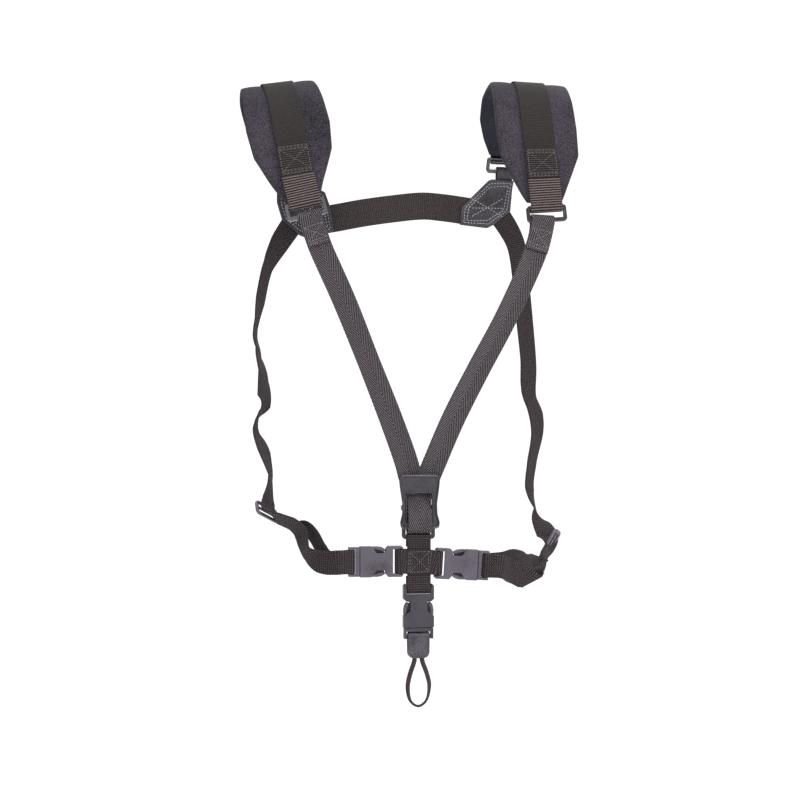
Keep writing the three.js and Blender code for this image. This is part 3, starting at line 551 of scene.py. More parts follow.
LOOP_W, LOOP_T = 4.0, 2.2
LOOP_ROUTE = [
    (-3, -482.5, 0), (-3.4, -490, 0), (-7, -501, 0.1), (-9, -512, 0.35), (-6.5, -524, 0.8), (0, -528.2, 1),
    (6.5, -524, 0.8), (9.4, -511, 0.35), (7, -500, 0.1), (3.4, -490, 0), (3, -482.5, 0),
]


def hanging_loop():
    """Flat braided cord: it lies open at the sides of the loop and turns on edge at the bottom."""
    points = [Vector((COLUMN_X + x, FRONT_Y, z)) for x, z, _ in LOOP_ROUTE]
    turns = [Vector((t, 0, 0)) for _, _, t in LOOP_ROUTE]
    verts, uvs, path = [], [], []
    places = even_places(points, 0.7)
    for t, s in places:
        p, along = on_curve(points, t)
        flat = Vector((along.z, 0, -along.x)).normalized()
        twist = between(turns, t).x * math.pi / 2
        wide = flat * math.cos(twist) + Vector((0, math.sin(twist), 0))
        out = along.cross(wide)
        path.append(p * MM)
        plait = 1 + 0.03 * math.cos(2 * math.pi * s / 2.4)
        for k in range(16):
            a = 2 * math.pi * k / 16
            verts.append(p + wide * LOOP_W / 2 * plait * math.cos(a) + out * LOOP_T / 2 * math.sin(a))
            uvs.append((math.sin(a) * 2.6, s))
    made = piece("hook_loop_cord", verts, tube_faces(len(places), 16), FINISH["cord"], uvs)
    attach(made, "hook")
    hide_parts("hook_loop")


hanging_loop()


# ------------------------------------------------------------------ pads

def settle(made, body, *nodes, slot):
    """The piece rides on its body and stands for its solids; its slot is not used."""
    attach(made, body)
    if nodes:
        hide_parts(*nodes)


def pad_mesh(side, table):
    """Neoprene pad: pressed flat under its webbing, full beside it, and rolled over at its rim."""
    steps = 130
    verts = []
    shares = [-1, -0.99, -0.965, -0.92, -0.86, -0.78, -0.68, -0.57, -0.47, -0.4, -0.3, -0.15, 0]
    shares = shares + [-s for s in reversed(shares[:-1])]
    for i in range(steps + 1):
        t = i / steps
        p, _, wide, out, half = pad_frame(table, t)
        tip = min(1.0, min(i, steps - i) / 5)
        ring = []
        for upper in (True, False):
            for s in (shares if upper else list(reversed(shares[1:-1]))):
                w = s * half
                rim = (half - abs(w)) / 1.5
                roll = max(0.0, 1 - (1 - min(rim, 1)) ** 2) ** 0.4
                full = 0.0
                if abs(w) > PAD_WEB_W / 2 and half > PAD_WEB_W / 2 + 2:
                    rest = (abs(w) - PAD_WEB_W / 2) / (half - PAD_WEB_W / 2)
                    full = math.sin(math.pi * min(1, rest * 1.05)) * min(0.6, (half - PAD_WEB_W / 2) * 0.05)
                puff = noise.noise(Vector((w * 0.05, t * 22, 3.0 if side == "left" else 9.0)))
                if upper:
                    n = -SKIN_EDGE + (SKIN_EDGE + full + 0.35 * puff) * roll
                else:
                    crease = 0.35 * noise.noise(Vector((w * 0.03, t * 60, 17.0)))
                    n = -SKIN_EDGE - (PAD_T - SKIN_EDGE + crease) * roll
                ring.append(p + wide * w + out * (n * tip - PAD_T / 2 * (1 - tip)))
        verts += ring
    count = len(ring)
    made = piece(f"{side}_shoulder_pad", verts, tube_faces(steps + 1, count), FINISH["pad"], sharp=80)
    # the underside takes the lining finish: the lining's own navy, darkened further as painted shade
    made.data.materials.append(FINISH["lining_and_shade"])
    inner = range(len(shares), count)
    for face in made.data.polygons:
        if all(v % count in inner for v in face.vertices):
            face.material_index = 1
    smooth = made.modifiers.new("smooth_skin", "SUBSURF")
    smooth.levels = smooth.render_levels = 1
    settle(made, "yoke", f"{side}_pad", slot="neoprene")


def pad_covering(side, table):
    """Webbing along the pad, sewn down by a row near each edge, in near-black thread that also stands in as painted
    shadow lines along the webbing's edges.
    """
    frames = band_frames(on_pad(table, 0.01, 0.99, GAP + WEB_T / 2, 24), 1.0)
    web = band(f"{side}_pad_ribbon", frames, PAD_WEB_W, WEB_T, FINISH["pad_web"], picot=0.12, pitch=1.6)
    settle(web, "yoke", f"{side}_pad_webbing", slot="pad_webbing")
    length = frames[-1][4]
    rows = [[(22, w), (length - 20, w)] for w in (-PAD_WEB_SEAM, PAD_WEB_SEAM)]
    # seams in near-black thread, standing in as painted shadow lines along the webbing's edges
    sewn = seam(f"{side}_pad_ribbon_seams", rows, lambda s, w: spot(frames, s, w, -WEB_T / 2),
                FINISH["dark_thread_and_shadow_line"], 0.26)
    settle(sewn, "yoke", slot="pad_webbing")


def ring_tab(side, table, front):
    """Tab over the pad's end and round its ring's upper bar, box-stitched through the pad."""
    end = pad_end(table, front)
    reach = 0.247 if front else 0.14
    laid = on_pad(table, reach if front else 1 - reach, 0 if front else 1, GAP + WEB_T + GAP + WEB_T / 2, 5)
    route = laid + half_turn(end["bar"], end["pull"], end["out"], end["wide"], FOLD_R)
    frames = band_frames(route, 0.8)
    where = "front" if front else "rear"
    tab = band(f"{side}_{where}_ring_tab", frames, PAD_WEB_W, WEB_T, FINISH["tab_web"], picot=0.14, pitch=2.1)
    # the fold round the ring takes the lighter copy of the webbing, a painted highlight
    tab.data.materials.append(FINISH["fold_web_painted_highlight"])
    per_ring = len(tab.data.vertices) // len(frames)
    for face in tab.data.polygons:
        if frames[face.vertices[0] // per_ring][4] > TAB_HIGHLIGHT_FROM:
            face.material_index = 1
    settle(tab, "yoke", f"{side}_{where}_tab", slot="strap_webbing")
    outward = 1 if front else -1
    h = PAD_WEB_W / 2
    edge, side_row, cross = h - 1.5, h - 1.8, h - 2.5
    top, low = 2.8, 26
    rows = [[(d, -edge), (d, edge)] for d in (top, top + ROW_GAP, low, low - ROW_GAP)]
    rows += [[(top, w), (low, w)] for w in (-side_row, side_row)]
    rows += [[(top + ROW_GAP, w), (low - ROW_GAP, -w)] for w in (-cross, cross)]
    sewn = seam(f"{side}_{where}_tab_box_stitch", rows, lambda s, w: spot(frames, s, w, outward * WEB_T / 2),
                FINISH["grey_thread"], 0.34)
    settle(sewn, "yoke", slot="strap_webbing")


for side, table in PADS.items():
    pad_mesh(side, table)
    pad_covering(side, table)
    ring_tab(side, table, True)
    ring_tab(side, table, False)


# ------------------------------------------------------------------ front strap and centre

def front_strap():
    """One length of herringbone tape: left ring, cinch, lower ring, right ring. Its sewn ends lie in front."""
    left = lower_bar(pad_end(PADS["left"], True), FRONT_SWING["left"])
    right = lower_bar(pad_end(PADS["right"], True), FRONT_SWING["right"])
    route = [
        (left.x + 9.4, left.y - 3.8, left.z - 24, 0.95, 0, 0.27),
        (left.x + 5.2, left.y - 2.4, left.z - 11, 0.96, 0, 0.25),
    ]
    for a in half_circle():
        route.append((left.x + 1.6, left.y - FOLD_R * math.cos(a), left.z + FOLD_R * math.sin(a), 0.97, 0, 0.22))
    route += [
        (left.x + 5.4, left.y + 1.0, left.z - 11, 0.96, 0, 0.25),
        (left.x + 10, left.y - 1.9, left.z - 25, 0.95, 0, 0.28),
        (-62, -94.6, -187, 0.93, 0.1, 0.34), (-42, -96, -237, 0.89, 0.25, 0.36), (-22.5, -97, -287, 0.93, 0.1, 0.36),
        (-10, -97.4, -322, 0.94, 0, 0.35), (-6, -97, -336, 0.97, 0, 0.2), (COLUMN_X, -96.6, -350, 1, 0, 0),
        (COLUMN_X, -100.6, -360, 1, 0, 0), (COLUMN_X, -104.5, -368, 1, 0, 0), (COLUMN_X, -104.6, -375, 1, 0, 0),
        (COLUMN_X, -101.4, -380.2, 1, 0, 0), (COLUMN_X, -95.6, -381.6, 1, 0, 0), (COLUMN_X, -91.6, -378.6, 1, 0, 0),
        (COLUMN_X, -91.4, -372, 1, 0, 0), (COLUMN_X, -93.2, -356, 1, 0, 0), (8.5, -93.2, -338, 0.95, 0, -0.28),
        (14.5, -93.2, -324, 0.93, 0, -0.38), (30.5, -94, -287, 0.9, 0, -0.42), (52, -95, -245, 0.88, 0.1, -0.45),
        (73, -94, -207, 0.88, 0.15, -0.45), (90, -92, -173, 0.9, 0.1, -0.4),
        (right.x - 10.6, right.y - 1.6, right.z - 27, 0.95, 0, -0.28),
        (right.x - 5.8, right.y + 1.0, right.z - 12, 0.98, 0, -0.16),
    ]
    for a in half_circle():
        route.append((right.x - 4.2, right.y + FOLD_R * math.cos(a), right.z + FOLD_R * math.sin(a), 1, 0, -0.05))
    route += [
        (right.x - 6.2, right.y - 2.4, right.z - 12, 0.98, 0, -0.16),
        (right.x - 10.2, right.y - 3.7, right.z - 26, 0.95, 0, -0.28),
    ]
    frames = band_frames(route, 0.9)
    made = band("front_strap_tape", frames, STRAP_W, WEB_T, FINISH["herringbone"], picot=0.14, pitch=2.4)
    settle(made, "front_straps", "front_strap", slot="herringbone_webbing")
    length = frames[-1][4]
    for where, near, far, face in (("left", 4.6, 17, -1), ("right", length - 4.6, length - 18, 1)):
        rows = (2.2, 4.6) if where == "left" else (length - 2.2, length - 4.6)
        lines = [[(d, -8.5), (d, 8.5)] for d in rows]
        lines += [[(near, -8.5), (far, 8.5)], [(near, 8.5), (far, -8.5)], [(far, -8.5), (far, 8.5)]]
        sewn = seam(f"{where}_front_strap_stitch", lines,
                    lambda s, w, face=face: spot(frames, s, w, face * WEB_T / 2),
                    FINISH["tape_thread"], 0.3)
        settle(sewn, "front_straps", slot="herringbone_webbing")


front_strap()


def column_webbing():
    """Ribbed webbing down the middle, folded round the lower ring and the hook buckle's bar."""
    top = LOWER_RING_Z - LOWER_REACH
    bottom = HOOK_BUCKLE_Z - END_BAR
    route = [(COLUMN_X, FRONT_Y + BAR_R, bottom + 8, 1, 0, 0)]
    for a in half_circle():
        route.append((COLUMN_X, FRONT_Y + BAR_R * math.cos(a), bottom - COLUMN_FOLD * math.sin(a), 1, 0, 0))
    route += [(COLUMN_X, FRONT_Y - BAR_R, z, 1, 0, 0) for z in (bottom + 8, CROSS_Z, top - 3)]
    for a in reversed(half_circle()):
        route.append((COLUMN_X, FRONT_Y + BAR_R * math.cos(a), top + RING_FOLD * math.sin(a), 1, 0, 0))
    route.append((COLUMN_X, FRONT_Y + BAR_R, top - 8, 1, 0, 0))
    frames = band_frames(route, 0.7)
    made = band("column_ribbon", frames, STRAP_W, WEB_T, FINISH["strap_web"], picot=0.12, pitch=2.0)
    settle(made, "front_straps", "column_webbing", slot="strap_webbing")


column_webbing()

BUCKLES = {
    "left": (Vector((-12.8, -97.2, -405.5)), Vector((-1, 0, 0)), Vector((0, 0, 1))),
    "right": (Vector((14.2, -97.2, -407.5)), Vector((0.998, 0, -0.06)).normalized(),
              Vector((0.06, 0, 0.998)).normalized()),
}


def cross_webbing():
    """Ribbed webbing over the column, folded round a bar of each side buckle and box-stitched in the middle."""
    cross = FRONT_Y - BAR_R - WEB_T - GAP
    bars = {side: start + pull * END_BAR for side, (start, pull, _) in BUCKLES.items()}
    left, right = bars["left"], bars["right"]
    route = [(left.x + 7, left.y + BAR_R, left.z, 0, 0, 1)]
    for a in half_circle():
        route.append((left.x - CROSS_FOLD * math.sin(a), left.y + BAR_R * math.cos(a), left.z, 0, 0, 1))
    route += [(-10, cross - 0.1, CROSS_Z, 0, 0, 1), (0, cross, CROSS_Z, 0, 0, 1), (10, cross - 0.1, CROSS_Z, 0, 0, 1)]
    for a in reversed(half_circle()):
        route.append((right.x + CROSS_FOLD * math.sin(a), right.y + BAR_R * math.cos(a), right.z, 0.06, 0, 1))
    route.append((right.x - 7, right.y + BAR_R, right.z, 0.06, 0, 1))
    frames = band_frames(route, 0.6)
    made = band("cross_ribbon", frames, STRAP_W, WEB_T, FINISH["strap_web"], picot=0.12, pitch=2.0)
    settle(made, "front_straps", "cross_webbing", slot="strap_webbing")
    middle = frames[-1][4] / 2
    h = 9
    rows = [[(middle + u * h, -8.4), (middle + u * h, 8.4)] for u in (-1, -0.82, 0.82, 1)]
    rows += [[(middle - h, w), (middle + h, w)] for w in (-8.4, 8.4)]
    rows += [[(middle - 7, -7), (middle + 7, 7)], [(middle - 7, 7), (middle + 7, -7)]]
    sewn = seam("cross_box_stitch", rows, lambda s, w: spot(frames, s, w, WEB_T / 2), FINISH["grey_thread"], 0.32)
    settle(sewn, "front_straps", slot="strap_webbing")


cross_webbing()


def hook_tab():
    """Leather tab folded round the plug's bar and sewn together below it, with rounded lower corners."""
    z = HOOK_BUCKLE_Z - BUCKLE_LEN + END_BAR
    route = [(COLUMN_X, FRONT_Y + 1.7, z - 18, 1, 0, 0), (COLUMN_X, FRONT_Y + 2.6, z - 9, 1, 0, 0)]
    for a in half_circle(4):
        route.append((COLUMN_X, FRONT_Y + 3.2 * math.cos(a), z + 3.2 * math.sin(a), 1, 0, 0))
    route += [(COLUMN_X, FRONT_Y - 2.6, z - 9, 1, 0, 0), (COLUMN_X, FRONT_Y - 1.7, z - 18, 1, 0, 0)]
    frames = band_frames(route, 0.5)
    length = frames[-1][4]

    def rounded(s, w, n):
        away = min(s, length - s)
        if away < 5:
            w *= 1 - (1 - math.sqrt(max(0, 1 - (1 - away / 5) ** 2))) * 0.5
        return w, n

    made = band("hook_tab_leather", frames, 18.5, 1.7, FINISH["tab"], shape=rounded)
    settle(made, "hook", "hook_tab", slot="tab_leather")
    start = length - 10.5
    rows = [[(start, -7.2), (start, 7.2), (length - 2.4, 6.2), (length - 2.4, -6.2), (start, -7.2)]]
    sewn = seam("hook_tab_stitch", rows, lambda s, w: spot(frames, s, w, -0.85), FINISH["dark_thread_and_shadow_line"], 0.34)
    settle(sewn, "hook", slot="tab_leather")


hook_tab()


# ------------------------------------------------------------------ back strap, patches and side straps

def back_strap():
    """Wider webbing across the back, with looped edges."""
    route = [
        (-67, PATCH_Y, -109, 0, 0, 1), (-49, PATCH_Y, -106, 0, 0, 1), (-22, 87, -100.5, 0, 0, 1),
        (7, 90, -96, 0, 0, 1), (36, 90, -93, 0, 0, 1), (54, 87, -94.5, 0, 0, 1),
        (70, PATCH_Y, -97, 0, 0, 1), (84, PATCH_Y, -99, 0, 0, 1),
    ]
    frames = band_frames(route, 0.5)
    made = band("back_strap_ribbon", frames, BACK_W, WEB_T, FINISH["back_web"], picot=0.3, pitch=2.3)
    settle(made, "back_straps", "back_strap", slot="back_webbing")


back_strap()

PATCHES = {
    "left": [(-101, -71.5), (-79.5, -72.5), (-57, -82), (-52, -96), (-49, -118), (-62, -121), (-74, -124),
             (-80, -122), (-96, -109), (-101, -92)],
    "right": [(97.5, -68.5), (119.5, -69.5), (117, -98), (101, -110.5), (95.5, -113.5), (69.5, -110.5), (70.3, -95)],
}


def softened(outline, radius=1.4):
    """The outline with its corners just rounded and its sides divided."""
    soft = []
    for k, corner in enumerate(outline):
        before, here, after = Vector(outline[k - 1]), Vector(corner), Vector(outline[(k + 1) % len(outline)])
        first, last = here + (before - here).normalized() * radius, here + (after - here).normalized() * radius
        for i in range(4):
            t = i / 3
            soft.append(tuple(first * (1 - t) ** 2 + here * 2 * t * (1 - t) + last * t * t))
        gap = after + (here - after).normalized() * radius - last
        soft += [tuple(last + gap * i / 8) for i in range(1, 8)]
    return soft


def inset(outline, centre, depth):
    """The outline moved in towards the centre by a depth."""
    moved = []
    for x, z in outline:
        gap = Vector((centre[0] - x, centre[1] - z))
        step = min(depth / gap.length, 1)
        moved.append((x + gap.x * step, z + gap.y * step))
    return moved


def leather_patch(side, front):
    """One leather layer, its edge skived and drawn in to the other layer by the stitching."""
    outline = softened(PATCHES[side])
    centre = (sum(x for x, _ in outline) / len(outline), sum(z for _, z in outline) / len(outline))
    face = -1 if front else 1
    base = PATCH_Y + face * 2.75
    verts, depths = [], [0, 0.15, 0.5, 1.1, 2.2, 3.4, 5, 8, 12, 17]
    rings = [inset(outline, centre, d) for d in depths]
    count = len(outline)

    def sheet_y(x, z, d):
        draw = 1.2 * math.exp(-((d - 2.8) / 2.0) ** 2) * 0.35 + 0.9 * math.exp(-d / 1.6)
        swell = 0.45 * noise.noise(Vector((x * 0.12, z * 0.12, face * 4.0)))
        over_neck = 0.0
        if front:
            over_neck = 4.6 * max(0.0, min(1.0, (z + 79) / 9)) ** 1.5
        return base + face * (swell * min(1, d / 6) - draw) - over_neck

    for outer in (True, False):
        for ring, d in zip(rings, depths):
            edge = 1 - 0.55 * math.exp(-d / 0.35)
            for x, z in ring:
                lift = face * (PATCH_HALF_T if outer else -PATCH_HALF_T) * edge
                verts.append(Vector((x, sheet_y(x, z, d) + lift, z)))
    faces = []
    layers = len(depths)
    for outer in (0, 1):
        for r in range(layers - 1):
            for k in range(count):
                j = (k + 1) % count
                a, b = (outer * layers + r) * count, (outer * layers + r + 1) * count
                quad = (a + k, a + j, b + j, b + k)
                faces.append(quad if outer == 0 else tuple(reversed(quad)))
        hub = len(verts)
        lift = face * (PATCH_HALF_T if outer == 0 else -PATCH_HALF_T)
        verts.append(Vector((centre[0], sheet_y(*centre, 20) + lift, centre[1])))
        a = (outer * layers + layers - 1) * count
        for k in range(count):
            tri = (a + k, a + (k + 1) % count, hub)
            faces.append(tri if outer == 0 else tuple(reversed(tri)))
    for k in range(count):
        j = (k + 1) % count
        faces.append((k, layers * count + k, layers * count + j, j))
    if not front:
        faces = [tuple(reversed(f)) for f in faces]
    where = "front" if front else "back"
    made = piece(f"{side}_patch_leather_{where}", verts, faces, FINISH["patch"], sharp=70)
    settle(made, "back_straps", f"{side}_patch_{where}", slot="patch_leather")

    def on_leather(x, z):
        gap = min((Vector((x, z)) - Vector(q)).length for q in outline)
        return Vector((x, sheet_y(x, z, gap) + face * 0.87, z)), Vector((0, face, 0))

    rows = []
    for depth in (3.0, 5.6):
        loop = inset(PATCHES[side], centre, depth * 1.25)
        rows.append(loop + loop[:1])
    x0, z0 = centre
    if side == "right":
        rows += [[(x0 - 16, z0 + 9), (x0 + 14, z0 - 8)], [(x0 - 16, z0 - 8), (x0 + 14, z0 + 9)]]
        rows += [[(x0 - 16, z0), (x0 + 14, z0)]]
    else:
        rows += [[(x0 - 12, z0 + 12), (x0 + 14, z0 - 12)], [(x0 - 12, z0 - 12), (x0 + 14, z0 + 12)]]
    sewn = seam(f"{side}_patch_stitch_{where}", rows, on_leather, FINISH["patch_thread"], 0.34, 2.1, 0.8)
    settle(sewn, "back_straps", slot="patch_leather")


def ring_tongue(side):
    """Neck of the patch, folded round the rear ring's lower bar and sewn in between the layers."""
    end = pad_end(PADS[side], False)
    bar = lower_bar(end, REAR_SWING)
    up = -ring_pull(end, REAR_SWING)
    back = end["wide"].cross(up)
    back *= math.copysign(1, back.y)
    route = [(bar.x, PATCH_Y + 0.95, -86, 1, 0, 0), (bar.x, PATCH_Y + 0.95, -78, 1, 0, 0)]
    route += half_turn(bar, up, back, end["wide"], 3.5)
    route += [(bar.x, PATCH_Y - 0.95, -78, 1, 0, 0), (bar.x, PATCH_Y - 0.95, -86, 1, 0, 0)]
    made = band(f"{side}_patch_neck", band_frames(route, 0.8), 15, 1.4, FINISH["patch"])
    settle(made, "back_straps", f"{side}_ring_tongue", slot="patch_leather")


for side in PATCHES:
    leather_patch(side, True)
    leather_patch(side, False)
    ring_tongue(side)

SIDE_ROUTES = {
    "left": (
        [
            (-82, PATCH_Y, -104, 0.8, 0, -0.6), (-88, PATCH_Y, -113, 0.78, 0, -0.6),
            (-99, PATCH_Y, -130, 0.66, 0.35, -0.6), (-110, 76, -151, 0.46, 0.83, -0.32),
            (-118, 65, -182, 0.45, 0.88, -0.1), (-122.5, 55, -203, 0.2, 0.95, 0.2),
            (-124, 44, -216, 0.12, 0.9, 0.4), (-122.5, 33, -230, 0.05, 0.9, 0.4),
            (-119.5, 18, -250, 0.15, 0.85, 0.5), (-121, -2, -273, 0.4, 0.8, 0.4),
            (-127, -14, -287, 0.15, 0.9, 0.3), (-128.5, -22, -297, 0.15, 0.9, 0.2),
            (-124, -36, -315, 0.37, 0.8, 0.2), (-119.5, -46, -337, 0.15, 0.95, 0.2),
            (-121.5, -54, -356, 0.5, 0.85, 0), (-122, -61, -365, 0.64, 0.68, -0.35),
            (-117.5, -65.5, -369.4, 0.4, 0.7, -0.6), (-110, -68, -372.6, 0.05, 0.84, -0.55),
            (-102.3, -71, -376.2, -0.2, 0.86, -0.5), (-96.4, -74, -382.5, -0.42, 0.84, -0.35),
            (-94.4, -78, -391.5, -0.3, 0.92, -0.2), (-91.8, -82.5, -399.4, -0.1, 0.84, -0.55),
            (-84, -88, -405.2, 0, 0.3, -0.95), (-76, -94, -406.4, 0, 0.05, -1),
            (-68, -100, -405.5, 0, 0, -1),
        ],
        [
            (-74, -91, -406, 0, 0, -1), (-79.8, -83, -396.5, -0.2, 0.85, -0.55),
            (-85.8, -77, -385, -0.3, 0.9, -0.3), (-92, -70, -379, -0.25, 0.9, -0.3),
            (-98.5, -65, -377.5, -0.15, 0.95, -0.25),
        ],
        Vector((0, 0, -1)),
    ),
    "right": (
        [
            (101, PATCH_Y, -95, 0.78, 0, 0.62), (109, PATCH_Y, -104, 0.78, 0, 0.62),
            (122, 80, -128, 0.8, 0.3, 0.3), (126, 72, -168, 0.85, 0.5, 0), (126.5, 58, -206, 0.85, 0.5, 0),
            (125, 38, -239, 0.75, 0.6, 0), (120, 14, -266, 0.65, 0.7, 0), (122, -4, -284, 0.65, 0.7, 0.1),
            (120, -18, -303, 0.6, 0.75, 0), (114, -25, -328, 0.55, 0.8, 0.1),
            (111, -30, -350, 0.52, 0.85, 0.1), (115.5, -34, -369, 0.15, 0.97, 0),
            (119, -44, -380, 0.4, 0.75, 0.5), (121.8, -54, -390.5, 0.42, 0.66, 0.66),
            (120.4, -61, -399.5, 0.48, 0.82, 0.35), (115.8, -66, -407.5, 0.55, 0.82, 0.12),
            (110.4, -71.5, -415.8, 0.62, 0.75, 0.1, 0.2), (104.1, -76, -424.4, 0.88, 0.1, 0.42, 0.9),
            (102.4, -78, -426.6, 0.89, 0, 0.45, 1), (99.6, -80, -425.6, 0.88, 0, 0.5, 0.9),
            (88.5, -84.5, -419, 0.55, 0.05, 0.83, 0.2), (80, -90, -415.3, 0.2, 0.05, 0.98),
            (71.5, -100.2, -411, 0.06, 0, 1),
        ],
        [
            (74, -90.5, -409.5, 0.06, 0, 1), (84, -84, -408, 0.05, 0.15, 1),
            (95, -78.5, -408.8, 0, 0.55, 0.82), (104, -72.5, -409, 0, 0.85, 0.5), (111.5, -67, -407, 0.1, 0.94, 0.3),
        ],
        BUCKLES["right"][2],
    ),
}


def side_strap(side):
    """One length of ribbed webbing from the patch, through the glide and round the buckle plug's bar."""
    down, tail, across = SIDE_ROUTES[side]
    start, pull, _ = BUCKLES[side]
    fold = half_turn(start + pull * PULL_BAR, -pull, Vector((0, -1, 0)), across, BAR_R)
    frames = band_frames(down + fold + tail, 0.7)
    cut_1 = next(i for i, f in enumerate(frames) if f[0].z < UPPER_CUT)
    cut_2 = next(i for i, f in enumerate(frames) if f[0].z < LOWER_CUT)
    parts = [("upper", 0, cut_1, "back_straps", "yoke"), ("middle", cut_1, cut_2, "yoke", "front_straps"),
             ("lower", cut_2, len(frames) - 1, "front_straps", f"{side}_plug_body")]
    for name, first, last, body, onto in parts:
        made = band(f"{side}_side_strap_{name}", frames[first:last + 1], STRAP_W, WEB_T, FINISH["strap_web"],
                    picot=0.16, pitch=2.0)
        if name == "upper":
            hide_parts(f"{side}_side_strap")
        if name == "lower":
            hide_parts(f"{side}_strap_end")
        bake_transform(made)


for side in SIDE_ROUTES:
    side_strap(side)


# ------------------------------------------------------------------ cinch and buckles

def ray_hit(outline, centre, angle):
    """Where a ray from the centre leaves a closed outline for good."""
    away = Vector((math.cos(angle), math.sin(angle)))
    best = None
    for k, corner in enumerate(outline):
        a, b = Vector(corner) - centre, Vector(outline[(k + 1) % len(outline)]) - centre
        edge = b - a
        cross = away.x * edge.y - away.y * edge.x
        if abs(cross) < 1e-9:
            continue
        reach = (a.x * edge.y - a.y * edge.x) / cross
        part = (a.x * away.y - a.y * away.x) / cross
        if reach > 0 and -1e-6 <= part <= 1 + 1e-6 and (best is None or reach > best):
            best = reach
    return centre + away * best


def framed_plate(name, outer, window, centre, profile, surface, count=160):
    """Moulded plate round a window. The profile gives heights at depths from the outer edge or from the window."""
    centre = Vector(centre)
    verts = []
    for k in range(count):
        angle = 2 * math.pi * k / count
        rim, hole = ray_hit(outer, centre, angle), ray_hit(window, centre, angle)
        gap = (hole - rim).length
        across = (hole - rim) / gap
        for side, depth, y in profile:
            depth = min(depth, gap * 0.5)
            q = rim + across * depth if side == "out" else hole - across * depth
            verts.append(Vector((q.x, y, q.y)))
    n = len(profile)
    faces = []
    for k in range(count):
        j = (k + 1) % count
        for i in range(n):
            m = (i + 1) % n
            faces.append((k * n + i, k * n + m, j * n + m, j * n + i))
    return piece(name, verts, faces, surface, sharp=50)


def slider():
    """Cinch: a tapered plate with a raised bead round it, side rails that swell at their feet, and a back bar."""
    corners = [(-15.2, -332.6), (15.2, -333), (17.4, -335.2), (16.8, -343), (14.9, -357), (15.2, -366),
               (17.2, -373), (16.6, -377.2), (13.4, -378.4), (-13, -378.4), (-15.8, -377), (-16.4, -373), (-14.7, -366),
               (-14.6, -357), (-16.7, -343), (-17.4, -335)]
    outer = softened([(x + COLUMN_X, z) for x, z in corners], 1.1)
    opening = [(-10.6, -348.4), (10.2, -348.4), (10.7, -372.6), (-10.9, -372.6)]
    window = softened([(x + COLUMN_X, z) for x, z in opening], 1.4)
    front, back = FRONT_Y - 8.2, FRONT_Y - 4.6
    profile = [("out", 0.5, back), ("out", 0, back - 0.6), ("out", 0, front + 1.2), ("out", 0.35, front + 0.3),
               ("out", 1.0, front - 0.15), ("out", 1.6, front + 0.1), ("out", 2.3, front + 1.3),
               ("in", 1.5, front + 1.35), ("in", 1.0, front + 0.5),
               ("in", 0.4, front + 0.55), ("in", 0, front + 1.2), ("in", 0, back - 0.5), ("in", 0.4, back)]
    plate = framed_plate("cinch_slider", outer, window, (COLUMN_X, -360.5), profile, FINISH["frame"])
    settle(plate, "cinch", "front_slider", slot="buckle_plastic")
    y = FRONT_Y
    route = [(-13.2, y - 5.2), (-13.4, y - 1), (-13.2, y + 3.2), (-11.6, y + 5.2), (-8, y + 5.9), (8, y + 5.9),
             (11.6, y + 5.2), (13.2, y + 3.2), (13.4, y - 1), (13.2, y - 5.2)]
    frames = band_frames([(x + COLUMN_X, yy, -361, 0, 0, 1) for x, yy in route], 0.5)
    bar = band("cinch_back_bar", frames, 4.6, 2.2, FINISH["plastic"])
    settle(bar, "cinch", slot="buckle_plastic")


slider()


def sprung_prong(buckle, name, side, start, across, pull, body, node_name):
    """Latch arm with a bowed outer face that the fingers squeeze, and a near-black plate in the gap beside it that
    stands in as painted shade.
    """
    outline = [(8.2, 38.4), (11.7, 38.4), (11.9, 33), (12.3, 28.4), (12.85, 25.4), (12.95, 22), (12.4, 18.6),
               (11.2, 16.2), (9.6, 15.3), (8.3, 15.9), (8.0, 17.4), (9.2, 19.2), (10.0, 22), (10.0, 25),
               (9.3, 28), (9.2, 33)]
    shape = softened(outline, 0.5)
    depth = across.cross(pull)
    verts = []
    middle = Vector((10.6, 24))
    levels = [(-1.7, 0.7), (-1.4, 0.2), (-0.7, 0), (0.7, 0), (1.4, 0.2), (1.7, 0.7)]
    for y, shrink in levels:
        for u, z in shape:
            inner = 1 - 0.28 * max(0.0, min(1.0, (z - 26) / 5))
            toward = Vector((middle.x - u, 0))
            uu = u + math.copysign(min(shrink, abs(toward.x)), toward.x) * 0.8
            verts.append(start + across * (side * uu) + pull * z + depth * y * inner)
    made = piece(f"{buckle}_{name}_arm", verts, tube_faces(len(levels), len(shape)), FINISH["plastic"], sharp=40)
    settle(made, body, node_name, slot="buckle_plastic")
    # near-black plate in the gap beside the arm: painted shade
    floor = softened([(6.6, 38), (9.6, 38), (11.3, 31), (11.6, 24), (11, 18.2), (8.6, 16), (6.6, 16)], 0.4)
    verts = [start + across * (side * u) + pull * z + depth * y for y in (-0.5, 0.5) for u, z in floor]
    made = piece(f"{buckle}_{name}_guide", verts, tube_faces(2, len(floor)), FINISH["guide"], sharp=40)
    settle(made, f"{buckle}_plug_body", slot="buckle_plastic")


def spread(c):
    """Squares up a round section a little, as moulded bars are."""
    return math.copysign(abs(c) ** 0.7, c)


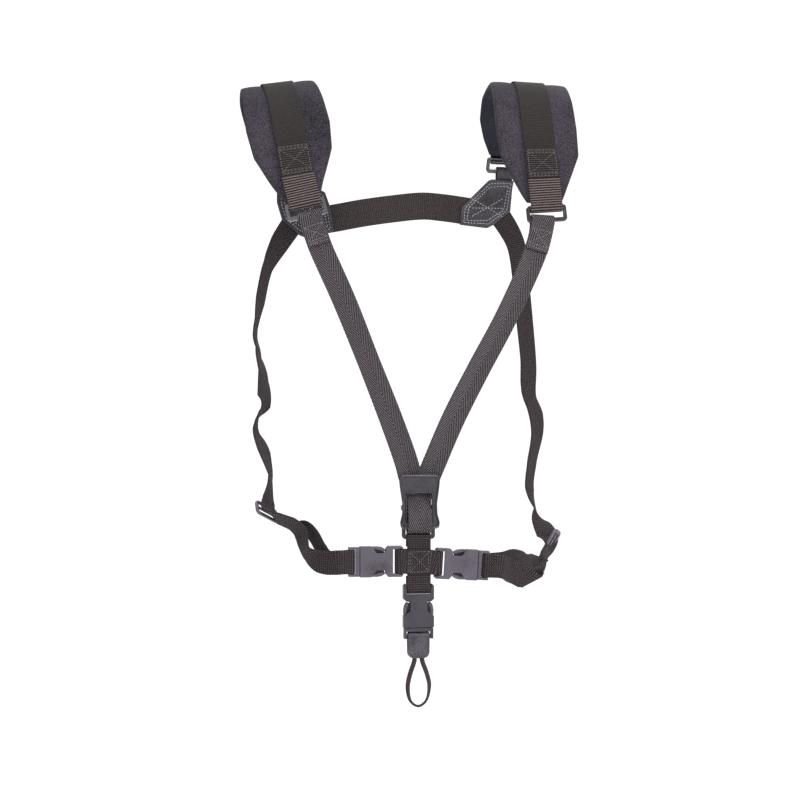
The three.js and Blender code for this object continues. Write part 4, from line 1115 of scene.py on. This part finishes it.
def strap_glide(side, centre, wide, tall):
    """Three-bar glide: a rounded moulded frame with a slimmer bar across its middle."""
    wide = Vector(wide).normalized()
    tall = (Vector(tall) - wide * Vector(tall).dot(wide)).normalized()
    depth = wide.cross(tall)
    half_w, half_h, round_r = 12.0, 5.4, 2.6
    verts, ring = [], []
    for cx, cz, first in ((1, 1, 0), (-1, 1, 1), (-1, -1, 2), (1, -1, 3)):
        for k in range(9):
            a = (first + k / 8) * math.pi / 2
            ring.append((cx * (half_w - round_r) + round_r * math.cos(a),
                         cz * (half_h - round_r) + round_r * math.sin(a), a))
    for u, z, a in ring:
        out = wide * math.cos(a) + tall * math.sin(a)
        at = Vector(centre) + wide * u + tall * z
        for k in range(14):
            b = 2 * math.pi * k / 14
            verts.append(at + out * (1.55 * spread(math.cos(b))) + depth * (1.2 * spread(math.sin(b))))
    faces = tube_faces(len(ring), 14, closed=True)
    first = len(verts)
    for k in range(13):
        u = -half_w + 2 * half_w * k / 12
        at = Vector(centre) + wide * u - depth * 0.2
        for m in range(12):
            b = 2 * math.pi * m / 12
            verts.append(at + tall * (1.15 * spread(math.cos(b))) + depth * (0.95 * spread(math.sin(b))))
    faces += [tuple(first + k for k in face) for face in tube_faces(13, 12)]
    made = piece(f"{side}_glide_frame", verts, faces, FINISH["plastic"], sharp=60)
    settle(made, f"{side}_glide", f"{side}_strap_glide", slot="buckle_plastic")


strap_glide("left", (-123.6, -58, -365.6), (0.73, 0.54, -0.41), (0.13, 0.72, 0.66))
strap_glide("right", (123.4, -57.5, -396), (0.52, 0, 0.855), (0.56, 0.75, -0.34))

PRONG_FRAMES = {
    **BUCKLES,
    "hook": (Vector((COLUMN_X, FRONT_Y, HOOK_BUCKLE_Z)), Vector((0, 0, -1)), Vector((1, 0, 0))),
}
for side, (start, pull, across) in PRONG_FRAMES.items():
    names = ("right", "left") if side == "hook" else ("upper", "lower")
    bodies = ("hook_prong_r", "hook_prong_l") if side == "hook" else (f"{side}_upper_prong", f"{side}_lower_prong")
    for name, body, sign in zip(names, bodies, (1, -1)):
        sprung_prong(side, name, sign, start, across, pull, body, f"{side}_prong_{name}")


# ------------------------------------------------------------------ carried-over hardware

for side in ("left", "right"):
    for where in ("front", "rear"):
        sharpened(f"{side}_{where}_ring", 0.8, FINISH["ring"])
for side in ("left", "right", "hook"):
    moulding = FINISH["frame" if side == "hook" else "plastic"]
    sharpened(f"{side}_receptacle", 0.85, moulding)
    sharpened(f"{side}_plug", 0.6, moulding)
sharpened("lower_ring", 0.8, FINISH["ring"])


# ------------------------------------------------------------------ studio

def studio():
    """White paper floor and surround, soft light from above and from three softboxes."""
    surface, _, _ = finish("studio_paper", {"Base Color": (0.95, 0.95, 0.95, 1), "Roughness": 0.9})
    size = 9000
    corners = [(-size, -size, -1000), (size, -size, -1000), (size, size, -1000), (-size, size, -1000)]
    floor = piece("studio_floor", corners, [(0, 1, 2, 3)], surface, smooth=False)
    world = bpy.data.worlds.new("studio_light")
    bpy.context.scene.world = world
    world.use_nodes = True
    tree = world.node_tree
    tree.nodes.clear()
    seen = node(tree, "LightPath")
    level = node(tree, "MapRange", [("Value", seen.outputs["Is Camera Ray"])], in_3=0.1, in_4=1.1)
    glow = node(tree, "Background", [("Strength", level.outputs["Result"])], in_Color=(1, 1, 1, 1))
    node(tree, "OutputWorld", [("Surface", glow.outputs["Background"])])
    sky = bpy.data.lights.new("overhead", "SUN")
    sky.energy = 3.4
    sky.angle = math.radians(50)
    lamps = [(sky, (0, 0, 2), None)]
    for name, place, size_m, watts in [("key", (-0.5, -1.8, 1.05), 0.8, 36), ("fill", (1.7, -1.2, 0.2), 0.9, 26),
                                       ("rim", (0.5, 1.8, 0.9), 1.2, 18)]:
        lamp = bpy.data.lights.new(f"{name}_softbox", "AREA")
        lamp.energy = watts
        lamp.size = size_m
        lamps.append((lamp, place, Vector((0, 0, -0.25)) - Vector(place)))
    for lamp, place, aim in lamps:
        made = bpy.data.objects.new(lamp.name, lamp)
        made.location = place
        if aim:
            made.rotation_euler = aim.to_track_quat("-Z", "Y").to_euler()
        bpy.context.scene.collection.objects.link(made)
    bpy.context.scene.view_settings.view_transform = "Standard"


studio()
